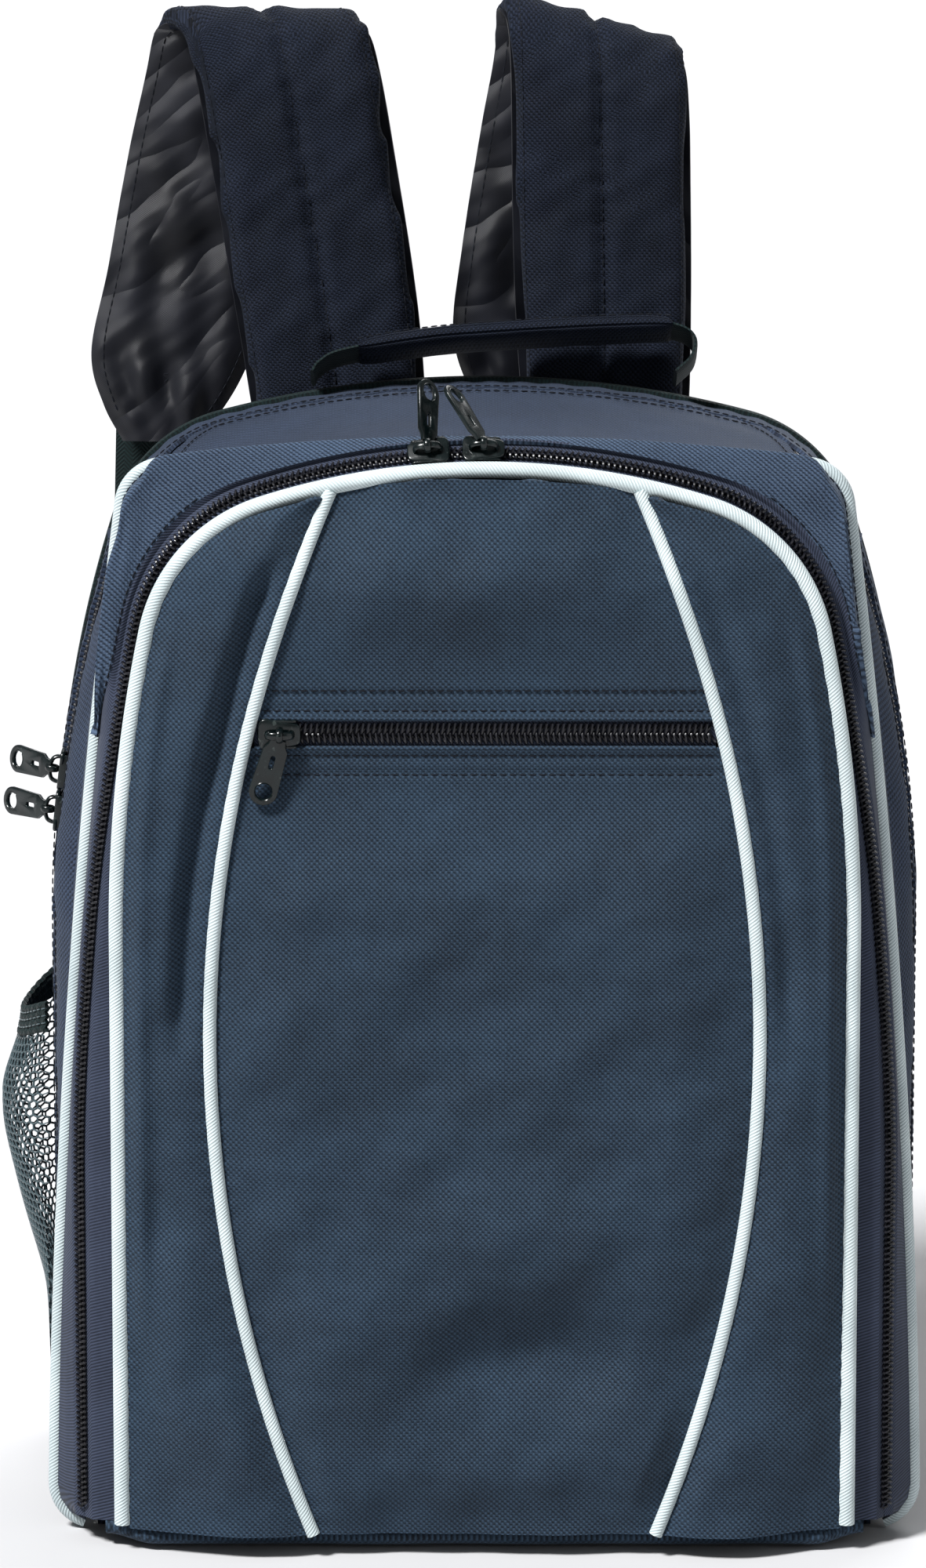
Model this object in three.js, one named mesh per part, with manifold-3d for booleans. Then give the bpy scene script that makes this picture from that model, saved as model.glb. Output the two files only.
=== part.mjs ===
// A school backpack, in millimetres. The front faces -Y, +Z is up, and the origin lies on the
// flat bottom, in the middle of the width.
import * as THREE from 'three';
import { mergeVertices } from 'three/addons/utils/BufferGeometryUtils.js';
import Module from 'manifold-3d';

const wasm = await Module();
wasm.setup();

// ---- Driving dimensions -------------------------------------------------------------------
const GAP = 0.35;               // air between touching pieces
const CLOTH = 1.4;              // thickness of the body cloth
const FRONT_FACE_Y = -82;       // middle of the front flap
const ARCH_Y = -74;             // edge of the front flap, where its piping runs
const SEAM_Y = -48;             // seam between the front section and the main compartment
const GUSSET_END_Y = 77;        // where the rear gusset meets the back panel
const BACK_Y = 87;              // outer face of the back panel
const PIPING_RADIUS = 2.8;
const INNER_PIPING_RADIUS = 2.3;
const TOOTH_BAND = 3.7;         // width of one half of a zip chain
const TOOTH_HEIGHT = 1.0;       // half of the chain's thickness
const TAPE_THICKNESS = 0.7;
const LINING_THICKNESS = 0.9;
const POCKET_ZIP_Z = 284;
const POCKET_ZIP_HALF = 75;
const BARREL_MIDDLE_Z = 178;    // height where the curved pipings are widest apart
const BARREL_HALF = 92;
const BARREL_CURVE = 0.00118;   // how fast the curved pipings come together, per millimetre
const FLAP_BOTTOM_Z = 8;

// An outline runs from its top centre to the left and down. Each step is an arc with a radius
// and a turn in degrees, or a straight line with a length. All outlines have the same steps:
// top, corner, upper side, lower side and bottom corner, so that they can be blended.
const STEP_SAMPLES = [5, 6, 5, 3, 3];
const FRONT_OUTLINE = {
  top: 374,
  steps: [
    { radius: 1000, turn: 6.2 },
    { radius: 14, turn: 76.3 },
    { radius: 3100, turn: 2.9 },
    { radius: 3100, turn: 3.4 },
    { radius: 13, turn: 75 },
  ],
};
const DOME_OUTLINE = {
  top: 380,
  steps: [
    { radius: 360, turn: 15 },
    { radius: 51.7, turn: 57 },
    { radius: 430, turn: 18 },
    { length: 183 },
    { radius: 13, turn: 75 },
  ],
};
const ARCH_OUTLINE = {
  top: 371,
  steps: [
    { radius: 240, turn: 18 },
    { radius: 56.6, turn: 60 },
    { radius: 500, turn: 12 },
    { length: 198 },
    { length: 6 },
  ],
};

// ---- Materials ------------------------------------------------------------------------------
const clothMaterial = new THREE.MeshStandardMaterial({ color: 0x2f3d55, roughness: 0.9 });
const pipingMaterial = new THREE.MeshStandardMaterial({ color: 0xe9f0f0, roughness: 0.7 });
const tapeMaterial = new THREE.MeshStandardMaterial({ color: 0x1c1f2a, roughness: 0.9 });
const teethMaterial = new THREE.MeshStandardMaterial({ color: 0x14141c, roughness: 0.4 });
const metalMaterial = new THREE.MeshStandardMaterial({
  color: 0x1c3032, roughness: 0.35, metalness: 0.6,
});
const webbingMaterial = new THREE.MeshStandardMaterial({ color: 0x0c2a2c, roughness: 0.8 });
const liningMaterial = new THREE.MeshStandardMaterial({ color: 0x33343e, roughness: 0.45 });
const meshMaterial = new THREE.MeshStandardMaterial({ color: 0x2c3a42, roughness: 0.8 });
const paddingMaterial = new THREE.MeshStandardMaterial({ color: 0x3a3f4c, roughness: 0.9 });
const plasticMaterial = new THREE.MeshStandardMaterial({ color: 0x101214, roughness: 0.5 });

// ---- Small helpers --------------------------------------------------------------------------
const bag = new THREE.Group();
const radians = THREE.MathUtils.degToRad;
const mix = THREE.MathUtils.lerp;
const smooth = (value, low, high) => THREE.MathUtils.smoothstep(value, low, high);

function addMesh(name, geometry, material, parent = bag) {
  const mesh = new THREE.Mesh(geometry, material);
  mesh.name = name;
  parent.add(mesh);
  return mesh;
}

// A closed solid from a grid of outer points and the same grid of inner points.
function shellGeometry(outer, inner) {
  const rows = outer.length;
  const columns = outer[0].length;
  const points = [...outer.flat(), ...inner.flat()];
  const innerStart = rows * columns;
  const faces = [];
  const quad = (a, b, c, d) => faces.push(a, b, c, a, c, d);
  const at = (row, column) => row * columns + column;
  for (let row = 0; row < rows - 1; row += 1) {
    for (let column = 0; column < columns - 1; column += 1) {
      const a = at(row, column);
      const b = at(row, column + 1);
      const c = at(row + 1, column + 1);
      const d = at(row + 1, column);
      quad(a, b, c, d);
      quad(innerStart + a, innerStart + d, innerStart + c, innerStart + b);
    }
  }
  const edge = (a, b) => quad(b, a, innerStart + a, innerStart + b);
  for (let column = 0; column < columns - 1; column += 1) {
    edge(at(0, column), at(0, column + 1));
    edge(at(rows - 1, column + 1), at(rows - 1, column));
  }
  for (let row = 0; row < rows - 1; row += 1) {
    edge(at(row + 1, 0), at(row, 0));
    edge(at(row, columns - 1), at(row + 1, columns - 1));
  }
  const geometry = new THREE.BufferGeometry();
  const numbers = points.flatMap((p) => [p.x, p.y, p.z]);
  geometry.setAttribute('position', new THREE.Float32BufferAttribute(numbers, 3));
  geometry.setIndex(signedVolume(points, faces) < 0 ? faces.reverse() : faces);
  return geometry;
}

function signedVolume(points, faces) {
  let volume = 0;
  for (let i = 0; i < faces.length; i += 3) {
    const [a, b, c] = [points[faces[i]], points[faces[i + 1]], points[faces[i + 2]]];
    volume += a.dot(new THREE.Vector3().crossVectors(b, c));
  }
  return volume;
}

// A sheet of cloth: the outer grid thickened against its own normals. flip turns the side that
// the thickness is added to.
function sheetGeometry(outer, thickness, flip = 1) {
  const inner = outer.map((line, row) => line.map((point, column) => {
    const along = line[Math.min(column + 1, line.length - 1)].clone();
    along.sub(line[Math.max(column - 1, 0)]);
    const across = outer[Math.min(row + 1, outer.length - 1)][column].clone();
    across.sub(outer[Math.max(row - 1, 0)][column]);
    const normal = along.cross(across).normalize();
    return point.clone().addScaledVector(normal, thickness * flip);
  }));
  return shellGeometry(outer, inner);
}

function toManifold(geometry) {
  const bare = geometry.clone();
  bare.deleteAttribute('normal');
  bare.deleteAttribute('uv');
  const merged = mergeVertices(bare, 1e-3);
  return new wasm.Manifold(new wasm.Mesh({
    numProp: 3,
    vertProperties: new Float32Array(merged.attributes.position.array),
    triVerts: new Uint32Array(merged.index.array),
  }));
}

function fromManifold(solid) {
  const mesh = solid.getMesh();
  const geometry = new THREE.BufferGeometry();
  const numbers = new Float32Array(mesh.vertProperties);
  geometry.setAttribute('position', new THREE.BufferAttribute(numbers, 3));
  geometry.setIndex([...mesh.triVerts]);
  return geometry;
}

function joined(...geometries) {
  return fromManifold(geometries.map(toManifold).reduce((a, b) => a.add(b)));
}

function tube(points, radius, sides, steps) {
  const section = new THREE.Shape();
  for (let side = 0; side <= sides; side += 1) {
    const angle = (side / sides) * Math.PI * 2;
    const corner = [radius * Math.cos(angle), radius * Math.sin(angle)];
    if (side === 0) section.moveTo(...corner);
    else if (side < sides) section.lineTo(...corner);
  }
  section.closePath();
  const path = new THREE.CatmullRomCurve3(points, false, 'centripetal');
  return new THREE.ExtrudeGeometry(section, { steps, extrudePath: path, bevelEnabled: false });
}

// ---- Outlines -------------------------------------------------------------------------------
// Points of an outline from the left bottom end over the top to the right bottom end. Each has
// its place, its outward normal and its heading: 0 at the top centre, 90 on the straight sides.
function ring(outline) {
  let heading = 0;
  let x = 0;
  let z = outline.top;
  const half = [{ x, z, nx: 0, nz: 1, heading }];
  outline.steps.forEach((step, index) => {
    const count = STEP_SAMPLES[index];
    for (let i = 1; i <= count; i += 1) {
      const turn = (step.turn ?? 0) / count;
      const chord = 2 * (step.radius ?? 0) * Math.sin(radians(turn / 2));
      const length = step.length ? step.length / count : chord;
      const direction = radians(heading + turn / 2);
      x -= length * Math.cos(direction);
      z -= length * Math.sin(direction);
      heading += turn;
      const normal = radians(heading);
      half.push({ x, z, nx: -Math.sin(normal), nz: Math.cos(normal), heading });
    }
  });
  const mirrored = half.slice(1).map((p) => ({ ...p, x: -p.x, nx: -p.nx }));
  return [...half.reverse(), ...mirrored];
}

const frontRing = ring(FRONT_OUTLINE);
const domeRing = ring(DOME_OUTLINE);
const archRing = ring(ARCH_OUTLINE);

const offsetPoint = (p, offset, y) => new THREE.Vector3(p.x + p.nx * offset, y, p.z + p.nz * offset);

// The body's skin at a ring place and a depth: it changes from the square front outline at the
// seam to the domed outline, and swells a little more towards the back.
const DOME_START_Y = -24;
const FULL_WIDTH_Y = 26;
const DOME_SHORTFALL = 3.5;
const shortfall = (y) => DOME_SHORTFALL * (1 - smooth(y, DOME_START_Y, FULL_WIDTH_Y));

function skinPoint(index, y, inward = 0) {
  const domePoint = offsetPoint(domeRing[index], -shortfall(y) - inward, y);
  const frontPoint = offsetPoint(frontRing[index], -inward, y);
  return frontPoint.lerp(domePoint, smooth(y, SEAM_Y, DOME_START_Y));
}

// The depth of the main zip's middle: near the front on the sides, further back over the top.
const ZIP_SIDE_Y = -7;
const ZIP_TOP_Y = 42;
function zipDepth(index) {
  return mix(ZIP_TOP_Y, ZIP_SIDE_Y, smooth(domeRing[index].heading, 8, 70));
}

// A band of the skin between two depths, which may change along the ring.
function skinBand(fromY, toY, inward, thickness, rows) {
  const grid = [];
  for (let row = 0; row <= rows; row += 1) {
    grid.push(domeRing.map((_, index) => {
      const y = mix(fromY(index), toY(index), row / rows);
      return skinPoint(index, y, inward);
    }));
  }
  const inner = grid.map((line, row) => line.map((_, index) => {
    const y = mix(fromY(index), toY(index), row / rows);
    return skinPoint(index, y, inward + thickness);
  }));
  return shellGeometry(grid, inner);
}

// ---- Main compartment -----------------------------------------------------------------------
const TAPE_WIDTH = 13;
const TAPE_SINK = 0.6;          // how deep the zip's tape lies under the cloth's face
const CHAIN_SINK = TAPE_SINK + TAPE_THICKNESS / 2;
const BINDING_WIDTH = 4.5;
const BINDING_PROUD = 1.2;

function mainCompartment() {
  const zipEdge = (side, distance) => (index) => zipDepth(index) + side * distance;
  const tapeStart = TOOTH_BAND + GAP;
  const tapeEnd = tapeStart + TAPE_WIDTH;
  const gussetStart = tapeEnd + GAP;
  const rear = GUSSET_END_Y;

  const seam = () => SEAM_Y + PIPING_RADIUS + GAP;
  const rearGusset = skinBand(zipEdge(1, gussetStart), () => rear, 0, CLOTH, 2);
  const frontGusset = skinBand(seam, zipEdge(-1, gussetStart), 0, CLOTH, 3);
  addMesh('rear_gusset', rearGusset, clothMaterial);
  addMesh('front_gusset', frontGusset, clothMaterial);
  const halves = [
    { tapeName: 'main_zip_tape_rear', teethName: 'main_zip_teeth_rear', side: 1 },
    { tapeName: 'main_zip_tape_front', teethName: 'main_zip_teeth_front', side: -1 },
  ];
  for (const { tapeName, teethName, side } of halves) {
    const tapeEdges = [zipEdge(side, tapeStart), zipEdge(side, tapeEnd)];
    const teethEdges = [zipEdge(side, GAP / 2), zipEdge(side, TOOTH_BAND)];
    const tape = skinBand(...tapeEdges, TAPE_SINK, TAPE_THICKNESS, 1);
    const teeth = skinBand(...teethEdges, CHAIN_SINK - TOOTH_HEIGHT, 2 * TOOTH_HEIGHT, 1);
    addMesh(tapeName, tape, tapeMaterial);
    addMesh(teethName, teeth, teethMaterial);
  }
  const bindingEnd = () => rear + BINDING_WIDTH;
  const binding = skinBand(() => rear + GAP, bindingEnd, -BINDING_PROUD, 2 * BINDING_PROUD, 1);
  addMesh('back_binding', binding, webbingMaterial);
}

// A flat sheet inside an outline, between two depths.
function flatPanel(outlineRing, inset, lowY, highY, bottomZ) {
  const shape = new THREE.Shape();
  outlineRing.forEach((p, index) => {
    const place = offsetPoint(p, -inset, 0);
    const z = Math.max(place.z, bottomZ);
    if (index === 0) shape.moveTo(place.x, z);
    else shape.lineTo(place.x, z);
  });
  shape.closePath();
  const geometry = new THREE.ExtrudeGeometry(shape, { depth: highY - lowY, bevelEnabled: false });
  geometry.rotateX(Math.PI / 2);
  geometry.translate(0, highY, 0);
  return geometry;
}

function backPanel() {
  const foamInset = 5;
  const foamBottomZ = 8;
  const foamFrontY = GUSSET_END_Y - 0.6;
  const panelFrontY = GUSSET_END_Y + BINDING_WIDTH + GAP;
  const liningBackY = foamFrontY - GAP;
  const panel = flatPanel(domeRing, 1, panelFrontY, BACK_Y, 5);
  const foam = flatPanel(domeRing, foamInset, foamFrontY, panelFrontY - GAP, foamBottomZ);
  const lining = flatPanel(domeRing, foamInset, liningBackY - LINING_THICKNESS, liningBackY, foamBottomZ);
  addMesh('back_panel', panel, paddingMaterial);
  addMesh('back_foam', foam, paddingMaterial);
  addMesh('back_lining', lining, liningMaterial);
}

function box(low, high) {
  const size = high.map((value, axis) => value - low[axis]);
  const geometry = new THREE.BoxGeometry(...size);
  return geometry.translate(...high.map((value, axis) => (value + low[axis]) / 2));
}

function base() {
  const halfWidth = 133;
  const top = 3;
  const boardHalf = halfWidth - 8;
  const panel = box([-halfWidth, SEAM_Y + 4, 0], [halfWidth, BACK_Y - 3, top]);
  const board = box([-boardHalf, SEAM_Y + 14, top + GAP], [boardHalf, GUSSET_END_Y - 6, top + 2.5]);
  addMesh('base_panel', panel, clothMaterial);
  addMesh('base_board', board, plasticMaterial);
  addMesh('front_base', frontBase(halfWidth, top), clothMaterial);
}

// The bottom of the front section, narrower towards the flap.
function frontBase(halfWidth, top) {
  const bottom = 1;
  const frontHalf = 118;
  const shape = new THREE.Shape();
  shape.moveTo(-frontHalf, FRONT_FACE_Y + 9);
  shape.lineTo(frontHalf, FRONT_FACE_Y + 9);
  shape.lineTo(halfWidth, SEAM_Y - 8);
  shape.lineTo(halfWidth, SEAM_Y + 3);
  shape.lineTo(-halfWidth, SEAM_Y + 3);
  shape.lineTo(-halfWidth, SEAM_Y - 8);
  shape.closePath();
  const geometry = new THREE.ExtrudeGeometry(shape, { depth: top - bottom, bevelEnabled: false });
  return geometry.translate(0, 0, bottom);
}

// ---- Front section --------------------------------------------------------------------------
// The chain of the U zip follows the arch, further outside it on the lower sides.
const CHAIN_TILT = Math.SQRT1_2;
const CHAIN_Y = -66;
const CHAIN_NEAR = 4.5;
const CHAIN_FAR = 14;
const chainOffset = (p) => mix(CHAIN_FAR, CHAIN_NEAR, smooth(p.z, 130, 300));

// A place on the U zip's band: across runs outwards and backwards, proud runs out of its face.
function chainPoint(p, across, proud) {
  const offset = chainOffset(p) + (across + proud) * CHAIN_TILT;
  return offsetPoint(p, offset, CHAIN_Y + (across - proud) * CHAIN_TILT);
}

function chainBand(from, to, proudLow, proudHigh) {
  const edge = (across, proud) => archRing.map((p) => chainPoint(p, across, proud));
  const outer = [edge(from, proudHigh), edge(to, proudHigh)];
  const inner = [edge(from, proudLow), edge(to, proudLow)];
  return shellGeometry(outer, inner);
}

// Above this height the cloth of the upper corners lies between the outer tape and the seam.
const CORNER_LOW_Z = 258;
const SURROUND_SEAM_Y = SEAM_Y - PIPING_RADIUS - GAP;

// How much of the way from the chain to the seam, or to the corner cloth, the tape fills.
const tapeShare = (z) => mix(0.97, 0.42, smooth(z, 240, 300));
const UNDER_START = 89;         // heading of the front outline where it starts to curl under

// The edge of that cloth along the zip: it leaves the seam at its low end and reaches the
// chain higher up.
function surroundInner(index) {
  const nearChain = chainPoint(archRing[index], TOOTH_BAND + 3.2, 1.6);
  const seam = offsetPoint(frontRing[index], 0, SURROUND_SEAM_Y);
  return seam.lerp(nearChain, smooth(archRing[index].z, 240, 300));
}

function frontSection() {
  const tapeStart = TOOTH_BAND + 2 * GAP;
  const teethOuter = chainBand(GAP / 2, TOOTH_BAND, -TOOTH_HEIGHT, TOOTH_HEIGHT);
  const teethInner = chainBand(-TOOTH_BAND, -GAP / 2, -TOOTH_HEIGHT, TOOTH_HEIGHT);
  addMesh('u_zip_teeth_outer', teethOuter, teethMaterial);
  addMesh('u_zip_teeth_inner', teethInner, teethMaterial);
  const behindPiping = archRing.map((p) => offsetPoint(p, -2, ARCH_Y + PIPING_RADIUS + GAP));
  const innerEdge = archRing.map((p) => chainPoint(p, -tapeStart, 0));
  const innerTape = sheetGeometry([behindPiping, innerEdge], TAPE_THICKNESS, -1);
  addMesh('u_zip_tape_inner', innerTape, tapeMaterial);

  addMesh('u_zip_tape_outer', outerTape(tapeStart), tapeMaterial);

  addMesh('front_surround', frontSurround(), clothMaterial);
  const pipingPath = frontRing.map((p) => offsetPoint(p, 0.4, SEAM_Y));
  addMesh('side_piping', tube(pipingPath, PIPING_RADIUS, 6, 56), pipingMaterial);
  const divider = flatPanel(frontRing, 5, SEAM_Y - LINING_THICKNESS / 2, SEAM_Y + LINING_THICKNESS / 2, 6);
  addMesh('divider_panel', divider, liningMaterial);
}

// The outer tape of the U zip ends where the bottom corners start to curl under.
function outerTape(tapeStart) {
  const kept = archRing.filter((p, index) => frontRing[index].heading < UNDER_START);
  const skipped = (archRing.length - kept.length) / 2;
  const inner = kept.map((p) => chainPoint(p, tapeStart, 0));
  const outer = kept.map((p, index) => {
    return inner[index].clone().lerp(surroundInner(index + skipped), tapeShare(p.z));
  });
  const behind = (line) => line.map((point, index) => {
    const p = kept[index];
    return chainPoint(p, 0, -TAPE_THICKNESS).sub(chainPoint(p, 0, 0)).add(point);
  });
  return shellGeometry([inner, outer], [behind(inner), behind(outer)]);
}

// The cloth of the two upper corners and the top: from the zip outwards over a soft fold, and
// back to the seam.
function frontSurround() {
  const kept = archRing.map((p, index) => index).filter((index) => archRing[index].z > CORNER_LOW_Z);
  const foldShare = 0.82;
  const grid = [0, 0.3, 0.6, foldShare, 0.94, 1].map((share) => kept.map((index) => {
    const front = frontRing[index];
    const topness = 1 - smooth(front.heading, 4, 40);
    const fold = offsetPoint(front, 6 * topness + 0.6, mix(-63.5, -60, topness));
    const seam = offsetPoint(front, 0, SURROUND_SEAM_Y);
    if (share <= foldShare) return surroundInner(index).lerp(fold, share / foldShare);
    return fold.lerp(seam, (share - foldShare) / (1 - foldShare));
  }));
  return sheetGeometry(grid, CLOTH, -1);
}

// ---- Front flap -----------------------------------------------------------------------------
// Half the width at a height of the arch, drawn in from its edge by an inset.
function archHalf(z, inset = 0) {
  const side = archRing.filter((p) => p.x <= 0).map((p) => offsetPoint(p, -inset, 0));
  const upper = side.findIndex((p) => p.z >= z);
  if (upper < 0) return 0;
  if (upper === 0) return -side[0].x;
  const [a, b] = [side[upper - 1], side[upper]];
  return -mix(a.x, b.x, (z - a.z) / (b.z - a.z));
}

const barrelHalf = (z) => BARREL_HALF - BARREL_CURVE * (z - BARREL_MIDDLE_Z) ** 2;

// The flap's face: flat in the middle, falling back to the arch round its edge.
function faceY(x, z) {
  const edgeBand = 42;
  const side = smooth(archHalf(Math.min(z, ARCH_OUTLINE.top - 1)) - Math.abs(x), 0, edgeBand);
  const top = smooth(ARCH_OUTLINE.top - z, 0, edgeBand);
  return mix(ARCH_Y, FRONT_FACE_Y, Math.min(side, top));
}

// A piece of the flap between two edges, from one height to another. Its rows lie closer
// together towards the top, where the arch turns over.
const ROW_CROWDING = 1.4;
function flapPanel({ left, right, lowZ, highZ, rows, columns, lift = 0, thickness = CLOTH }) {
  const grid = [];
  for (let row = 0; row <= rows; row += 1) {
    const z = mix(highZ, lowZ, (1 - row / rows) ** ROW_CROWDING);
    const line = [];
    for (let column = 0; column <= columns; column += 1) {
      const x = mix(left(z), right(z), column / columns);
      line.push(new THREE.Vector3(x, faceY(x, z) + lift, z));
    }
    grid.push(line);
  }
  const inner = grid.map((line) => line.map((p) => p.clone().setY(p.y + thickness)));
  return shellGeometry(grid, inner);
}

const ARCH_INSET = PIPING_RADIUS + GAP;
const INNER_INSET = INNER_PIPING_RADIUS + GAP;
const INNER_PROUD = 0.6;
const MEETING_Z = 360;          // where the inner pipings run into the arch piping
const FLAP_TOP_Z = ARCH_OUTLINE.top - ARCH_INSET - 1;

function flapPanels() {
  const archEdge = (z) => archHalf(z, ARCH_INSET);
  const middleEdge = (z) => Math.min(barrelHalf(z) - INNER_INSET, archEdge(z));
  const sideEdge = (z) => Math.min(barrelHalf(z) + INNER_INSET, archEdge(z) - 1);
  const zipHalf = TOOTH_BAND + 2 * GAP;
  const side = { lowZ: FLAP_BOTTOM_Z, highZ: MEETING_Z, rows: 16, columns: 3 };
  const middle = { left: (z) => -middleEdge(z), right: middleEdge, columns: 6 };
  const leftPanel = flapPanel({ ...side, left: (z) => -archEdge(z), right: (z) => -sideEdge(z) });
  const rightPanel = flapPanel({ ...side, left: sideEdge, right: archEdge });
  const upper = flapPanel({ ...middle, lowZ: POCKET_ZIP_Z + zipHalf, highZ: FLAP_TOP_Z, rows: 8 });
  const pocket = flapPanel({ ...middle, lowZ: FLAP_BOTTOM_Z, highZ: POCKET_ZIP_Z - zipHalf, rows: 10 });
  addMesh('flap_side_panel_left', leftPanel, clothMaterial);
  addMesh('flap_side_panel_right', rightPanel, clothMaterial);
  addMesh('flap_upper_panel', upper, clothMaterial);
  addMesh('pocket_front_panel', pocket, clothMaterial);
}

function flapPipings() {
  const archPath = archRing.map((p) => offsetPoint(p, 0, ARCH_Y));
  addMesh('arch_piping', tube(archPath, PIPING_RADIUS, 6, 52), pipingMaterial);
  for (const [name, side] of [['inner_piping_left', -1], ['inner_piping_right', 1]]) {
    const path = [];
    for (let i = 0; i <= 12; i += 1) {
      const z = mix(FLAP_BOTTOM_Z, MEETING_Z, i / 12);
      const x = barrelHalf(z);
      path.push(new THREE.Vector3(side * x, faceY(x, z) - INNER_PROUD, z));
    }
    addMesh(name, tube(path, INNER_PIPING_RADIUS, 6, 20), pipingMaterial);
  }
}

function pocketZip() {
  const tapeHalf = 11;
  const tapeY = FRONT_FACE_Y + CLOTH + GAP;
  const teethY = tapeY - GAP;
  const tape = box([-POCKET_ZIP_HALF, tapeY, POCKET_ZIP_Z - tapeHalf],
    [POCKET_ZIP_HALF, tapeY + TAPE_THICKNESS, POCKET_ZIP_Z + tapeHalf]);
  const teeth = box([-POCKET_ZIP_HALF, teethY - 2 * TOOTH_HEIGHT, POCKET_ZIP_Z - TOOTH_BAND],
    [POCKET_ZIP_HALF, teethY, POCKET_ZIP_Z + TOOTH_BAND]);
  addMesh('pocket_zip_tape', tape, tapeMaterial);
  addMesh('pocket_zip_teeth', teeth, teethMaterial);
}

function flapLining() {
  const edge = (z) => archHalf(z, ARCH_INSET + 2);
  const lining = flapPanel({
    left: (z) => -edge(z),
    right: edge,
    lowZ: FLAP_BOTTOM_Z + 2,
    highZ: FLAP_TOP_Z - 4,
    rows: 12,
    columns: 6,
    lift: 4.2,
    thickness: LINING_THICKNESS,
  });
  addMesh('flap_lining', lining, liningMaterial);
}

// ---- Zip sliders and pullers ----------------------------------------------------------------
// A slider travels along its own X and faces its own +Z, with the chain's middle at its origin.
const SLIDER_PLATE_Z = TOOTH_HEIGHT + 0.5;
const SLIDER_PLATE = 1.3;
const BAR_HEIGHT = 5.3;
const BAR = 1.4;
const PULLER_LENGTH = 25;
const PULLER_WIDTH = 9.6;
const PULLER_THICKNESS = 1.3;
const PULLER_HOLE = 3.1;

function sliderGeometry() {
  const plate = new THREE.Shape();
  plate.moveTo(-6.6, -3.6);
  plate.lineTo(2, -3.9);
  plate.quadraticCurveTo(6.6, -5.4, 6.6, -3);
  plate.lineTo(6.6, 3);
  plate.quadraticCurveTo(6.6, 5.4, 2, 3.9);
  plate.lineTo(-6.6, 3.6);
  plate.closePath();
  const plateSolid = new THREE.ExtrudeGeometry(plate, {
    depth: SLIDER_PLATE, bevelEnabled: false, curveSegments: 3,
  });
  plateSolid.translate(0, 0, SLIDER_PLATE_Z);
  const legLow = SLIDER_PLATE_Z + SLIDER_PLATE / 2;
  const barHalf = 4.2;
  const half = BAR / 2;
  const bar = box([-barHalf, -half, BAR_HEIGHT - half], [barHalf, half, BAR_HEIGHT + half]);
  const legs = [-1, 1].map((side) => {
    const x = side * (barHalf - half);
    return box([x - half, -half, legLow], [x + half, half, BAR_HEIGHT]);
  });
  return joined(plateSolid, bar, ...legs);
}

// A puller turns about its own X, which is the slider's bar, and points along its own +Z. Its
// tongue can be twisted about its length and leant sideways on the loose ring.
function pullerGeometry(twist, lean) {
  const ringOuter = 2.5;
  const ringInner = 1.3;
  const ringShape = new THREE.Shape();
  ringShape.absarc(0, 0, ringOuter, 0, Math.PI * 2);
  const ringHole = new THREE.Path();
  ringHole.absarc(0, 0, ringInner, 0, Math.PI * 2, true);
  ringShape.holes.push(ringHole);
  const ringWidth = 2.6;
  const ringSolid = new THREE.ExtrudeGeometry(ringShape, {
    depth: ringWidth, bevelEnabled: false, curveSegments: 6,
  });
  ringSolid.translate(0, 0, -ringWidth / 2);
  ringSolid.rotateY(Math.PI / 2);

  const half = PULLER_WIDTH / 2;
  const tipZ = PULLER_LENGTH - half;
  const tongue = new THREE.Shape();
  tongue.moveTo(-2.6, ringOuter - 0.6);
  tongue.lineTo(2.6, ringOuter - 0.6);
  tongue.lineTo(half - 0.5, ringOuter + 2.4);
  tongue.lineTo(half, tipZ);
  tongue.absarc(0, tipZ, half, 0, Math.PI);
  tongue.lineTo(-half + 0.5, ringOuter + 2.4);
  tongue.closePath();
  const hole = new THREE.Path();
  hole.absarc(0, tipZ, PULLER_HOLE, 0, Math.PI * 2, true);
  tongue.holes.push(hole);
  const tongueSolid = new THREE.ExtrudeGeometry(tongue, {
    depth: PULLER_THICKNESS, bevelEnabled: false, curveSegments: 5,
  });
  tongueSolid.translate(0, 0, -PULLER_THICKNESS / 2);
  tongueSolid.rotateX(Math.PI / 2);
  tongueSolid.rotateZ(radians(twist));
  tongueSolid.rotateY(radians(lean));
  return joined(ringSolid, tongueSolid);
}

// A zip set: travel and facing are the slider's own X and +Z in the bag, and swing turns the
// puller about the bar away from straight out.
function zipPull({ sliderName, pullerName, place, travel, facing, swing, twist, lean }) {
  const set = new THREE.Group();
  const side = new THREE.Vector3().crossVectors(facing, travel);
  set.quaternion.setFromRotationMatrix(new THREE.Matrix4().makeBasis(travel, side, facing));
  set.position.copy(place);
  bag.add(set);
  addMesh(sliderName, sliderGeometry(), metalMaterial, set);
  const hinge = new THREE.Group();
  hinge.position.z = BAR_HEIGHT;
  hinge.rotation.x = radians(swing);
  set.add(hinge);
  addMesh(pullerName, pullerGeometry(twist, lean), metalMaterial, hinge);
}

// A place on an arc of an outline's left half, by the heading there in degrees.
function arcPlace(outline, stepIndex, heading, offset, y) {
  const points = ring(outline).filter((p) => p.x <= 0).reverse();
  const start = STEP_SAMPLES.slice(0, stepIndex).reduce((a, b) => a + b, 0);
  const first = points[start];
  const { radius } = outline.steps[stepIndex];
  const centreX = first.x - radius * first.nx;
  const centreZ = first.z - radius * first.nz;
  const angle = radians(heading);
  const reach = radius + offset;
  const normal = new THREE.Vector3(-Math.sin(angle), 0, Math.cos(angle));
  const place = new THREE.Vector3(centreX + normal.x * reach, y, centreZ + normal.z * reach);
  return { place, normal, travel: new THREE.Vector3(-normal.z, 0, normal.x) };
}

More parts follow.
